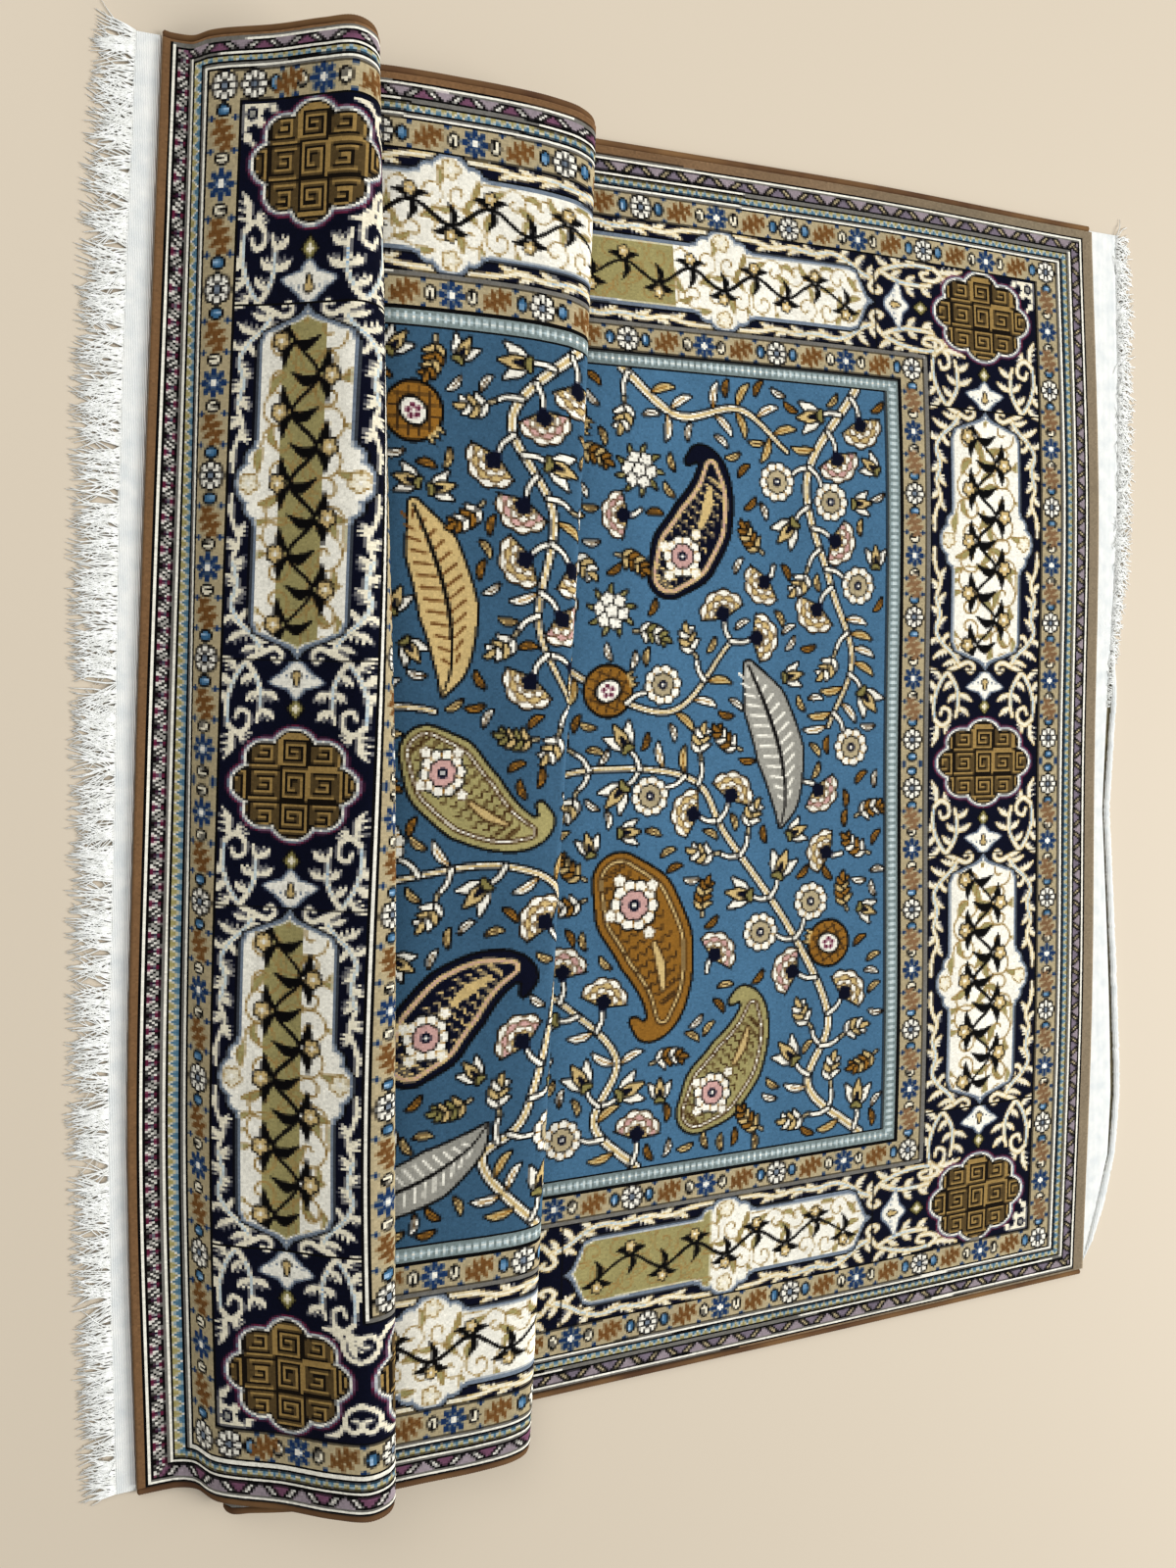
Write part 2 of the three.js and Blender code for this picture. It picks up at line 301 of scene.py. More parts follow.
def through(values, place):
    """Smooth curve through evenly spaced values."""
    values = np.asarray(values, float)
    place = np.asarray(place, float)
    last = len(values) - 1
    i = np.clip(np.floor(place).astype(int), 0, last - 1)
    t = place - i
    padded = np.concatenate([[2 * values[0] - values[1]], values, [2 * values[-1] - values[-2]]])
    before, a, b, after = padded[i], padded[i + 1], padded[i + 2], padded[i + 3]
    m0 = (b - before) / 2
    m1 = (after - a) / 2
    return ((2 * t ** 3 - 3 * t ** 2 + 1) * a + (t ** 3 - 2 * t ** 2 + t) * m0
            + (3 * t ** 2 - 2 * t ** 3) * b + (t ** 3 - t ** 2) * m1)


def across(row, u):
    """Five-place row at u, from -1 at the left edge to 1 at the right."""
    return through(row, 2 * (np.asarray(u, float) + 1))


def width_at(place, column):
    """Centre line (column 1) or half width (column 2) at a place along the section."""
    place = np.asarray(place, float)
    table = np.array(WIDTHS, float)
    k = np.clip(np.searchsorted(table[:, 0], place, side="left") - 1, 0, len(table) - 2)
    part = smooth_step((place - table[k, 0]) / (table[k + 1, 0] - table[k, 0]))
    return table[k, column] + (table[k + 1, column] - table[k, column]) * part


class Fold:
    """Pleated mid-surface of the rug at a set of places u over its width."""

    STEPS = 30
    # Section points: underside of the first crest, second rise, top and underside of the second crest, floor
    CREST_1_UNDER, RISE_2, CREST_2_TOP, CREST_2_UNDER, FLOOR = 9, 20, 24, 27, 34

    def __init__(self, u):
        self.u = np.asarray(u, float)
        keys = []
        for start, stop, part, shift, height in SECTION:
            y = across(LINES[start], self.u) * (1 - part) + across(LINES[stop], self.u) * part + shift
            keys.append(np.stack([y, np.full_like(y, height)], -1))
        keys = np.stack(keys, 1)
        keys = np.concatenate([2 * keys[:, :1] - keys[:, 1:2], keys, 2 * keys[:, -1:] - keys[:, -2:-1]], 1)
        gap = np.sqrt(np.hypot(*np.moveaxis(np.diff(keys, axis=1), -1, 0)))
        t = np.arange(self.STEPS) / self.STEPS
        spans = []
        for i in range(1, keys.shape[1] - 2):
            k1 = gap[:, i - 1][:, None, None]
            k2 = k1 + gap[:, i][:, None, None]
            k3 = k2 + gap[:, i + 1][:, None, None]
            k = k1 + t[None, :, None] * (k2 - k1)
            p = [keys[:, i + d][:, None, :] for d in (-1, 0, 1, 2)]

            def mix(a, b, ka, kb):
                return (a * (kb - k) + b * (k - ka)) / (kb - ka)
            a1, a2, a3 = mix(p[0], p[1], 0, k1), mix(p[1], p[2], k1, k2), mix(p[2], p[3], k2, k3)
            spans.append(mix(mix(a1, a2, 0, k2), mix(a2, a3, k1, k3), k1, k2))
        spans.append(keys[:, -2][:, None, :])
        self.path = np.concatenate(spans, 1)
        self.path[..., 1] = np.maximum(self.path[..., 1], MID_LEVEL)
        self.place = np.arange(self.path.shape[1]) / self.STEPS
        step = np.hypot(*np.moveaxis(np.diff(self.path, axis=1), -1, 0))
        self.arc = np.concatenate([np.zeros((len(self.u), 1)), np.cumsum(step, 1)], 1)
        ahead = np.gradient(self.path, axis=1)
        ahead /= np.linalg.norm(ahead, axis=2, keepdims=True)
        self.normal = np.stack([-ahead[..., 1], ahead[..., 0]], -1)

    def flat(self):
        """Flat length from the near end at every path point, mm: true where the cloth shows."""
        def mark(point):
            return self.arc[:, point * self.STEPS]
        long = sizes().long * 1000
        total = self.arc[:, -1]
        crest = across(CREST_2_FLAT, self.u)
        known = {
            0: np.zeros_like(total),
            self.CREST_1_UNDER: mark(self.CREST_1_UNDER),
            self.RISE_2: crest - (mark(self.CREST_2_TOP) - mark(self.RISE_2)),
            self.CREST_2_UNDER: crest + (mark(self.CREST_2_UNDER) - mark(self.CREST_2_TOP)),
            self.FLOOR: long - (total - mark(self.FLOOR)),
            len(SECTION) - 1: np.full_like(total, long),
        }
        marks = np.stack([mark(point) for point in known], 1)
        lengths = np.stack(list(known.values()), 1)
        return np.stack([np.interp(*column) for column in zip(self.arc, marks, lengths)])

    def points(self, rows, offset, inset):
        """Grid of points, metres: flat lengths by widths, raised by offset mm off the mid-surface."""
        flat = self.flat()
        grid = np.empty((len(rows), len(self.u), 3))
        side = np.empty((len(rows), len(self.u), 2))
        for c, u in enumerate(self.u):
            place = np.interp(rows, flat[c], self.place)
            grid[:, c, 0] = width_at(place, 1) + u * (width_at(place, 2) - inset)
            for axis in (0, 1):
                grid[:, c, axis + 1] = np.interp(place, self.place, self.path[c, :, axis])
                side[:, c, axis] = np.interp(place, self.place, self.normal[c, :, axis])
        side /= np.linalg.norm(side, axis=2, keepdims=True)
        offset = np.broadcast_to(np.asarray(offset, float), grid.shape[:2])
        grid[..., 1:] += side * offset[..., None]
        return grid * 0.001


# Knot chart

class Chart:
    """Wool numbers on a raster finer than the knots: columns across the rug, rows from the near end."""

    FINE = 2

    def __init__(self, wide, long):
        self.wide = wide
        self.long = long
        self.ink = np.zeros((long * self.FINE, wide * self.FINE), np.int16)
        self.clip = None

    def window(self, x0, y0, x1, y1):
        """Slices and places in knots of a part of the chart, or None outside it."""
        left, right = max(0, int(x0 * self.FINE)), min(self.ink.shape[1], int(x1 * self.FINE) + 2)
        low, high = max(0, int(y0 * self.FINE)), min(self.ink.shape[0], int(y1 * self.FINE) + 2)
        if left >= right or low >= high:
            return None
        columns = (np.arange(left, right) + 0.5) / self.FINE
        rows = (np.arange(low, high) + 0.5) / self.FINE
        gx, gy = np.meshgrid(columns, rows)
        return (slice(low, high), slice(left, right)), gx, gy

    def put(self, where, mask, wool):
        if self.clip is not None:
            mask = mask & self.clip[where]
        self.ink[where][mask] = WOOL[wool]

    def shape(self, spot, reach, draw, *choices):
        """Motif given by masks over its own coordinates."""
        found = self.window(spot.x - reach, spot.y - reach, spot.x + reach, spot.y + reach)
        if found is None:
            return
        where, gx, gy = found
        a, b = spot.inverse(gx, gy)
        for mask, wool in draw(a, b, *choices):
            self.put(where, mask, wool)

    def brush(self, points, radii, wool, edge=None, rim=1.0):
        """Stroke of changing width along a smooth curve, with an outline."""
        points = np.asarray(points, float)
        count = max(3, int(np.hypot(*np.diff(points, axis=0).T).sum() / 0.6) + 2)
        place = np.linspace(0, len(points) - 1, count)
        xs, ys = through(points[:, 0], place), through(points[:, 1], place)
        rs = np.interp(np.linspace(0, 1, count), np.linspace(0, 1, len(radii)), radii)
        grow = max(radii) + rim + 1
        found = self.window(xs.min() - grow, ys.min() - grow, xs.max() + grow, ys.max() + grow)
        if found is None:
            return
        where, gx, gy = found
        far = np.full(gx.shape, 1e9)
        for x, y, r in zip(xs, ys, rs):
            low = int((y - grow) * self.FINE) - where[0].start
            left = int((x - grow) * self.FINE) - where[1].start
            span = int(2 * grow * self.FINE) + 2
            part = (slice(max(0, low), max(0, low + span)), slice(max(0, left), max(0, left + span)))
            far[part] = np.minimum(far[part], np.hypot(gx[part] - x, (gy[part] - y) * GRAIN) - r)
        if edge:
            self.put(where, far < rim, edge)
        self.put(where, far <= 0, wool)

    def stroke(self, spot, points, radii, wool, edge=None, rim=1.0):
        """Brush stroke in a motif's own coordinates and size."""
        self.brush(spot.to(points), [r * spot.size for r in radii], wool, edge, rim)

    def free(self, x, y, reach, wool):
        """True where nothing but the ground wool lies within reach."""
        found = self.window(x - reach, y - reach, x + reach, y + reach)
        if found is None:
            return False
        where, gx, gy = found
        inside = np.hypot(gx - x, (gy - y) * GRAIN) < reach
        clear = self.ink[where] == WOOL[wool]
        if self.clip is not None:
            clear = clear & self.clip[where]
        return bool(clear[inside].all())


class Spot:
    """Place in knots, turn, size and side of a motif; its own unit is the width of a knot both ways."""

    def __init__(self, x, y, turn=0.0, size=1.0, flip=1, tall=1.0):
        self.x, self.y, self.size, self.turn, self.flip, self.tall = x, y, size, turn, flip, tall
        self.ahead = (math.cos(turn), math.sin(turn))
        self.aside = (-math.sin(turn) * flip, math.cos(turn) * flip)

    def inverse(self, gx, gy):
        dx, dy = (gx - self.x) / self.size, (gy - self.y) * GRAIN / self.size
        a = dx * self.ahead[0] + dy * self.ahead[1]
        b = (dx * self.aside[0] + dy * self.aside[1]) / self.tall
        return a, b

    def to(self, points):
        points = np.asarray(points, float) * self.size
        b = points[:, 1] * self.tall
        x = self.x + points[:, 0] * self.ahead[0] + b * self.aside[0]
        y = self.y + (points[:, 0] * self.ahead[1] + b * self.aside[1]) / GRAIN
        return np.stack([x, y], 1)

    def at(self, a, b, turn=0.0, size=1.0, flip=1):
        """Another spot placed in this one's coordinates."""
        (x, y), = self.to([(a, b)])
        return Spot(x, y, self.turn + turn * self.flip, self.size * size, self.flip * flip)


def discs(a, b, table):
    """Distance to the edge of a union of discs: (a, b, radius)."""
    far = np.full(a.shape, 1e9)
    for x, y, r in table:
        far = np.minimum(far, np.hypot(a - x, b - y) - r)
    return far


def ring_of(count, away, radius, start=0.0):
    """Discs evenly round a centre."""
    turns = [start + k * math.tau / count for k in range(count)]
    return [(away * math.cos(t), away * math.sin(t), radius) for t in turns]


# Small guard motifs

def white_rosette(a, b):
    r, t = np.hypot(a, b), np.arctan2(b, a)
    petal = np.abs(np.cos(4 * t))
    yield r < 6.4 + 0.9 * petal, "outline"
    yield (r < 5.3 + 0.9 * petal) & (petal > 1.6 / (r + 0.01)), "ivory"
    yield r < 2.4, "outline"
    yield r < 1.6, "grey"


def blue_flower(a, b):
    r, t = np.hypot(a, b), np.arctan2(b, a)
    petal = np.abs(np.cos(4 * t))
    yield (r < 4.3 + 2.8 * petal) & (petal > 1.1 / (r + 0.01)), "deep"
    yield r < 2.6, "deep"
    yield r < 1.9, "ivory"


def bud(a, b, wool):
    yield (a / 3.1) ** 2 + (b / 3.9) ** 2 < 1, "outline"
    inner = (a / 2.1) ** 2 + (b / 2.9) ** 2
    yield inner < 1, wool
    yield (inner < 1) & (np.abs(a + 0.4) < 0.6) & (b > -0.8), "sky" if wool == "bud" else "outline"


def edge_specks(a, b):
    yield np.abs(np.abs(a) - 14) + np.abs(np.abs(b) - 6) < 1.7, "deep"


def leaf_spray(chart, spot, wool):
    """Diagonal spray of small leaves."""
    chart.stroke(spot, [(-6.5, -4), (0, 0), (6.5, 4)], (0.9, 1.1, 0.8), wool)
    for a, b, da, db in ((-4.8, -3, -1.2, 4.6), (-1.4, -0.8, -1.4, 5.2), (2.2, 1.3, -1.2, 4.2),
                         (-2.4, -1.4, 2.4, -4.2), (1.2, 0.7, 2.6, -4.8), (4.6, 2.7, 2.2, -3.8)):
        chart.stroke(spot, [(a, b), (a + da, b + db)], (0.9, 1.6, 0.6), wool)


def rose_guard(chart, start, stop, flowers, leaves):
    """White and blue flowers in turn along a guard, with buds and leaf sprays between."""
    (x0, y0), (x1, y1) = start, stop
    turn = math.atan2((y1 - y0) * GRAIN, x1 - x0)
    places = [Spot(x0 + (x1 - x0) * t, y0 + (y1 - y0) * t, turn) for t, _ in flowers]
    gaps = [math.hypot(q.x - p.x, (q.y - p.y) * GRAIN) for p, q in zip(places[:-1], places[1:])]
    for k, (spot, (_, kind)) in enumerate(zip(places, flowers)):
        chart.shape(spot, 18, edge_specks)
        chart.shape(spot, 9, white_rosette if kind == "white" else blue_flower)
        bud_wool = "bud" if kind == "white" else "cream"
        for side, room in ((-1, gaps[k - 1] if k else 99), (1, gaps[k] if k < len(gaps) else 99)):
            if room > 24:
                chart.shape(spot.at(side * 10.6, 0, 0, 1, side), 6, bud, bud_wool)
    for spot, gap in zip(places[:-1], gaps):
        if gap > 30:
            leaf_spray(chart, spot.at(gap / 2, 0), leaves)


def flower_row(count):
    return [(k / count, "blue" if k % 2 else "white") for k in range(count + 1)]


def side_row(long):
    """Flowers up a long side: evenly spaced from the far corner, two white ones at the near corner."""
    row = [(0, "white"), (29 / long, "white")]
    row += [(1 - 91 * k / long, "blue" if k % 2 else "white") for k in range(int((long - 60) / 91), -1, -1)]
    return row


# Main border motifs

MEDALLION = [(0, 0, 24)] + ring_of(4, 19.4, 11.8) + ring_of(4, 19.6, 11, math.pi / 4)

# One block of the key fret, a quarter turn on from block to block
FRET = (
    "##########",
    ".........#",
    ".#######.#",
    ".#.....#.#",
    ".#.###.#.#",
    ".#.#...#.#",
    ".#.#####.#",
    ".#.......#",
    ".#########",
    "..........",
)
KEY = np.array([[mark == "#" for mark in line] for line in FRET])
KEYS = np.stack([np.rot90(KEY, turn) for turn in range(4)])


def medallion(a, b, size, tall):
    """Lobed medallion with a square key fret."""
    far = discs(a, b, MEDALLION)
    yield far < 1.2, "burgundy"
    yield far < 0.2, "grey"
    yield far < -0.7, "ivory"
    yield far < -1.9, "outline"
    inside = far < -2.7
    yield inside, "honey"
    i = np.floor(a * size / 1.5).astype(int) + 5
    j = np.floor(b * size * tall / GRAIN / 1.15).astype(int) + 5
    turn = (i // 10 + 3 * (j // 10) + (i // 10) * (j // 10)) % 4
    yield inside & KEYS[turn, j % 10, i % 10], "fret"


def corner_leaf(a, b):
    """Ivory leaf that fills a corner of the border, scalloped along its long edge."""
    far = np.maximum(a + b - 15 - 1.3 * np.abs(np.sin((a - b) * 0.42)), 1.2 - np.minimum(a, b))
    tips = discs(a, b, [(16, 3.4, 2.2), (3.4, 16, 2.2), (9.4, 9.4, 2.4), (18.5, 6, 1.4), (6, 18.5, 1.4)])
    yield np.minimum(far, tips) < 0, "cream"
    eye = np.hypot(a - 5.4, b - 5.4)
    yield eye < 3.0, "navy"
    yield eye < 1.7, "stone"


# Outline of a palmette: degrees round from the -a side, and reach
PALMETTE = ((0, 11), (25, 8), (45, 7.4), (65, 10.5), (82, 16.5), (103, 9.5), (130, 7.5), (150, 8.4),
            (180, 9.4))


def palmette(a, b):
    """Wide pointed palmette with a grey outline and a drop at its heart."""
    r, t = np.hypot(a, b), np.degrees(np.abs(np.arctan2(b, -a)))
    far = r - table_at(PALMETTE, t)
    yield far < 1.8, "grey"
    yield far < 0, "ivory"
    drop = discs(a, b, [(1.8, 0, 2.3), (-0.6, 0, 1.7), (-2.8, 0, 1.0)])
    yield drop < 0.9, "outline"
    yield drop < 0, "gold"
    yield discs(np.abs(b), a, [(6.5, 1.5, 0.9), (10.5, 0.4, 0.7)]) < 0, "grey"


def small_diamond(a, b):
    far = np.abs(a) * 0.8 + np.abs(b) - 4.0
    yield far < 1, "outline"
    yield far < 0, "olive"
    yield far < -2, "cream"


# Outline of a cartouche: units in from its tip and share of its half width; bulge beside its middle
OGEE = ((0, 0), (2, 0.07), (4.4, 0.15), (6.5, 0.34), (8.8, 0.6), (12, 0.9), (17.5, 1))
BULGE = ((0, 9.6), (5, 8.8), (8.5, 6.2), (9, 4.8), (12, 5), (15, 3.6), (16.5, 1.2), (20, 0))


def cartouche_edge(a, b, half_long, half_wide):
    """Distance to the edge of a long cartouche with ogee ends."""
    def half(place):
        return half_wide * table_at(OGEE, half_long - place) + table_at(BULGE, place)
    place = np.abs(a)
    slope = half(place + 0.5) - half(place - 0.5)
    far = (np.abs(b) - half(place)) / np.sqrt(1 + slope ** 2)
    return np.where(place > half_long, place - half_long + 0.1, far)


def cartouche(chart, spot, half_long, half_wide, shade):
    """Ivory cartouche full of thin curls behind a leafy vine; shade is where an olive dye lot ran."""
    def ground(a, b):
        far = cartouche_edge(a, b, half_long, half_wide)
        yield far < 0.8, "outline"
        yield far < 0, "grey"
        yield far < -1.9, "ivory"
        level = b / half_wide if spot.turn == 0 else a / half_long
        yield (far < -2.6) & (level > shade[0]) & (level < shade[1]), "khaki"
    chart.shape(spot, half_long + 6, ground)
    kept = chart.clip
    where, gx, gy = chart.window(
        spot.x - half_long - 6, spot.y - half_long - 6, spot.x + half_long + 6, spot.y + half_long + 6)
    chart.clip = np.zeros_like(chart.ink, bool)
    chart.clip[where] = cartouche_edge(*spot.inverse(gx, gy), half_long, half_wide) < -2.6
    grow = half_wide / 24
    for k in range(-7, 8):
        for side in (-1, 1):
            flip = side if k % 2 else -side
            heart = spot.at(14.5 * k + 4 * side, side * half_wide * 0.5, 1.3 * k, grow, flip)
            curl = [((9.5 - i) * math.cos(i * 0.85), (9.5 - i) * math.sin(i * 0.85)) for i in range(9)]
            chart.stroke(heart, curl, (0.55, 0.6), "honey")
            chart.stroke(heart, [(9.5, 0), (12, -4), (13, -9)], (0.5, 1.7, 0.3), "khaki", "honey", 0.7)
            chart.stroke(heart, [(-4, 7.5), (-8, 10), (-13, 9.5)], (0.4, 1.4, 0.3), "khaki", "honey", 0.7)
    wave = [(k * half_long / 5, half_wide * (0.26 if k % 2 else -0.26)) for k in range(-4, 5)]
    chart.stroke(spot, wave, (0.7, 1.1, 0.7), "outline")
    for a, b in wave:
        bough = spot.at(a, b, 0, grow * 1.15, 1 if b > 0 else -1)
        for side in (-1, 1):
            chart.stroke(bough, [(side, 0), (side * 4.5, 3.5), (side * 10, 4)], (0.6, 2.1, 0.3), "outline")
        chart.stroke(bough, [(0, 0), (2, -5), (-1.5, -11.5)], (0.6, 2.2, 0.3), "outline")
        chart.shape(bough.at(0, 5.5, 0, 0.7), 9, five_petals, "gold", "outline")
    for side in (-1, 1):
        chart.shape(spot.at(0, side * (half_wide + 2.4), 0, 0.9), 8, five_petals, "cream", "honey")
    chart.clip = kept


def five_petals(a, b, wool, edge):
    far = discs(a, b, ring_of(5, 3.1, 1.9))
    yield far < 0.9, edge
    yield far < 0, wool
    yield np.hypot(a, b) < 1.5, "ivory"


# One quarter of a border span: middle of a medallion at 0, of a cartouche at 100 along; edge at 27 across
STEMS = (
    ((44, 12.5), (41, 18.5), (34, 23), (26, 25), (19.5, 24.3)),
    ((19.5, 24.3), (17, 20.8), (19.2, 17.4), (23.4, 17.2), (24.8, 20.4), (22, 21.6)),
    ((41, 18.5), (37, 15.5), (32, 13.4), (26, 13.2), (21, 14.2)),
    ((44, 12.5), (49, 16), (54, 21.5), (60, 24.5), (67, 22.6), (74, 24.6), (81, 22.6), (88, 25),
     (96, 25.6)),
    ((44, 12.5), (45.5, 8.5), (43.5, 5.6), (41, 7), (42.2, 9)),
    ((54, 21.5), (57.5, 19), (56, 16.4), (53.6, 17.4)),
)
# Leaves with toothed edges: root, tip, width, side of the teeth
LEAVES = (
    ((38, 21.5), (42.5, 27), 1.5, 1),
    ((33, 24), (37, 28), 1.3, 1),
    ((27, 25), (31, 28), 1.3, 1),
    ((18, 23), (8, 25.6), 1.9, -1),
    ((18.6, 18), (13.4, 19.2), 1.3, 1),
    ((37, 15.4), (33, 20), 1.5, 1),
    ((31, 13.4), (27.6, 18), 1.5, 1),
    ((31, 13.2), (28, 6.6), 1.6, -1),
    ((25, 13.2), (21.4, 8), 1.6, -1),
    ((47, 14.5), (51.5, 11), 1.5, -1),
    ((46, 13.8), (44, 20.5), 1.4, 1),
    ((51, 18.2), (47, 25.5), 1.6, 1),
    ((56, 23), (53, 28), 1.4, 1),
    ((60, 24.5), (65.5, 19.8), 1.4, -1),
    ((66, 22.8), (70, 27), 1.3, 1),
    ((71, 23.6), (76, 20.2), 1.3, -1),
    ((78, 23.6), (82, 27), 1.2, 1),
    ((82, 22.8), (87, 20.4), 1.2, -1),
    ((89, 25), (93, 27), 1.0, 1),
)
VEINS = (
    ((40, 19), (34, 22.9), (26, 24.8), (20.5, 24.4)),
    ((36.5, 15.2), (32, 13.5), (26, 13.3)),
    ((46, 14), (50, 17), (54, 21.4), (60, 24.4), (67, 22.8), (74, 24.4)),
)


def toothed_leaf(chart, root, tip, wide, side, edge):
    """Cream leaf with a row of lobes along one edge."""
    run = tip - root
    aside = np.array([-run[1], run[0]]) * side / np.hypot(*run)
    bend = root + run * 0.55 - aside * wide * 0.6
    chart.brush([root, bend, tip], (0.9, wide * 0.8, 0.4), "cream", edge, 0.6)
    for t in (0.15, 0.38, 0.62):
        base = root + run * t - aside * wide * 0.4 * (1 - (2 * t - 1) ** 2)
        chart.brush([base, base + aside * wide * (2.0 - 1.0 * t) + run * 0.16], (0.95, 0.35), "cream")


def scrolls(chart, spot, length, half, edge):
    """Split-leaf scrolls on both sides of a border span; those without a rim are woven bolder."""
    bold = 1.0 if edge else 1.3
    for side in (-1, 1):
        def lay(points):
            return spot.to([(a * length / 100, side * b * half / 27) for a, b in points])
        for root, tip, wide, teeth in LEAVES:
            toothed_leaf(chart, *lay([root, tip]), wide * bold, teeth * side, edge)
        for points in STEMS:
            chart.brush(lay(points), np.array([1.15, 1.1, 1.0, 0.85]) * bold, "cream", edge, 0.6)
        for points in VEINS:
            chart.brush(lay(points), (0.35, 0.4), "sky")


def border_span(chart, spot, length, half, size, edge):
    """Everything between the middle of a medallion and the middle of a cartouche."""
    scrolls(chart, spot, length, half, edge)
    chart.shape(spot.at(0.255 * length, 0), 7, small_diamond)
    chart.shape(spot.at(0.355 * length, 0, 0, size), 24, palmette)


def twin_volutes(chart, spot, half):
    """Curls that fill the gaps between two medallions set close together."""
    for along in (-1, 1):
        for side in (-1, 1):
            points = ((0, 0.36), (5, 0.44), (8, 0.62), (5, 0.80), (0.8, 0.76), (1.6, 0.62), (4, 0.62))
            chart.stroke(spot, [(along * a, side * b * half) for a, b in points], (1.3, 1.2, 0.9), "cream")
            points = ((8, 0.7), (12, 0.86), (18, 0.9))
            chart.stroke(spot, [(along * a, side * b * half) for a, b in points], (1.0, 1.6, 0.5), "cream")


# Knots from a corner medallion to the next cartouche along an end, and half length of that cartouche
END_STEP = 138.4
END_HALF_LONG = 80.7
# Ends: stripe column, medallion width and height, half width of a cartouche, rim of the scrolls
END_ROWS = ((2, 0.86, 1.23, 25, None), (3, 0.9, 1.32, 26.5, "gold"))
# Sides, mm: medallions and cartouches by turns, back from the far corner; last medallion from the near end
SIDE_STEPS = (0, 351, 729, 1107)
SIDE_LAST = 303
SIDE_HALF_LONG = 101
SIDE_HALF_WIDE = 18.8
# From each medallion to a cartouche beside it, by their numbers along the border
SPANS = ((0, 1), (2, 1), (2, 3), (4, 3))
# Olive dye lots in the cartouches along the rug: from and to, as shares of the half size; 2 is none
SHADES = ((-0.5, 0.4), (-0.5, 0.3), (2, 2), (2, 2), (-1, -0.3), (2, 2), (-1, -0.1), (2, 2))


def main_border(chart, band, knot_long):
    """Medallions and cartouches in turn round the rug, with scrolls between."""
    k = BAND["main"]
    x_mid = (STRIPES[k][1] + STRIPES[k + 1][1]) / 2
    half_side = (STRIPES[k + 1][1] - STRIPES[k][1]) / 2
    chart.clip = band == BAND["main"]
    medallions, boxes = [], []
    for end, size, tall, half_wide, edge in END_ROWS:
        y = (STRIPES[k][end] + STRIPES[k + 1][end]) / 2
        y = y if end == 2 else chart.long - y
        half = (STRIPES[k + 1][end] - STRIPES[k][end]) / 2 * GRAIN
        places = [x_mid, x_mid + END_STEP, chart.wide / 2, chart.wide - x_mid - END_STEP, chart.wide - x_mid]
        for m in (0, 2, 4):
            medallions.append(Spot(places[m], y, 0, size, 1, tall))
        for m, other in SPANS:
            away = places[other] - places[m]
            turn = 0 if away > 0 else math.pi
            border_span(chart, Spot(places[m], y, turn), abs(away), half, 0.82, edge)
        for m in (1, 3):
            boxes.append((Spot(places[m], y), END_HALF_LONG, half_wide))
        low = STRIPES[k][end] if end == 2 else chart.long - STRIPES[k][end]
        left, right = ((0, 1), (math.pi, -1)) if end == 2 else ((-math.pi / 2, 1), (math.pi, 1))
        for x, (turn, flip) in ((STRIPES[k][1], left), (chart.wide - STRIPES[k][1], right)):
            chart.shape(Spot(x, low, turn, 1, flip), 24, corner_leaf)
    far_mm = knot_long * (chart.long - (STRIPES[k][3] + STRIPES[k + 1][3]) / 2)
    near_mm = knot_long * (STRIPES[k][2] + STRIPES[k + 1][2]) / 2
    for x in (x_mid, chart.wide - x_mid):
        places = [(far_mm - step) / knot_long for step in SIDE_STEPS] + [SIDE_LAST / knot_long]
        medallions.append(Spot(x, places[2], 0, 0.9, 1, 1.22))
        medallions.append(Spot(x, places[4], 0, 0.94, 1, 1.06))
        for m, other in SPANS:
            away = (places[other] - places[m]) * GRAIN
            spot = Spot(x, places[m], math.copysign(math.pi / 2, away))
            border_span(chart, spot, abs(away), half_side, 0.8, "gold")
        for m in (1, 3):
            boxes.append((Spot(x, places[m], math.pi / 2), SIDE_HALF_LONG, SIDE_HALF_WIDE))
        twin_volutes(chart, Spot(x, (near_mm + SIDE_LAST) / 2 / knot_long, math.pi / 2), half_side)
    for spot in medallions:
        chart.shape(spot, 42, medallion, spot.size, spot.tall)
    for (spot, half_long, half_wide), shade in zip(boxes, SHADES):
        cartouche(chart, spot, half_long, half_wide, shade)
    chart.clip = None


# Field motifs

def leaf(chart, spot, long, wide, wool, vein=None):
    """Bent pointed leaf, with a vein where one is named."""
    body = [(0, 0), (long * 0.35, wide * 0.35), (long * 0.7, wide * 0.3), (long, -wide * 0.2)]
    chart.stroke(spot, body, (0.5, wide * 0.8, wide * 0.7, 0.3), wool, "outline")
    if vein:
        chart.stroke(spot, body[:3], (0.45, 0.45), vein)


def spray(chart, spot, count, wool, other):
    """Bent stem with leaves on both sides and a bud at its tip."""
    long = 5 * count
    stem = [(0, 0), (long * 0.5, long * 0.10), (long, 0)]
    chart.stroke(spot, stem, (0.9, 0.7, 0.5), "tan", "outline", 0.8)
    for k in range(1, count + 1):
        t = k / (count + 0.4)
        b = long * 0.10 * (1 - (2 * t - 1) ** 2)
        for side in (-1, 1):
            leaf(chart, spot.at(long * t, b, side * 0.85), 8.5 - 3 * t, 1.9, wool if k % 2 else other)
    leaf(chart, spot.at(long, 0), 6, 1.8, other)


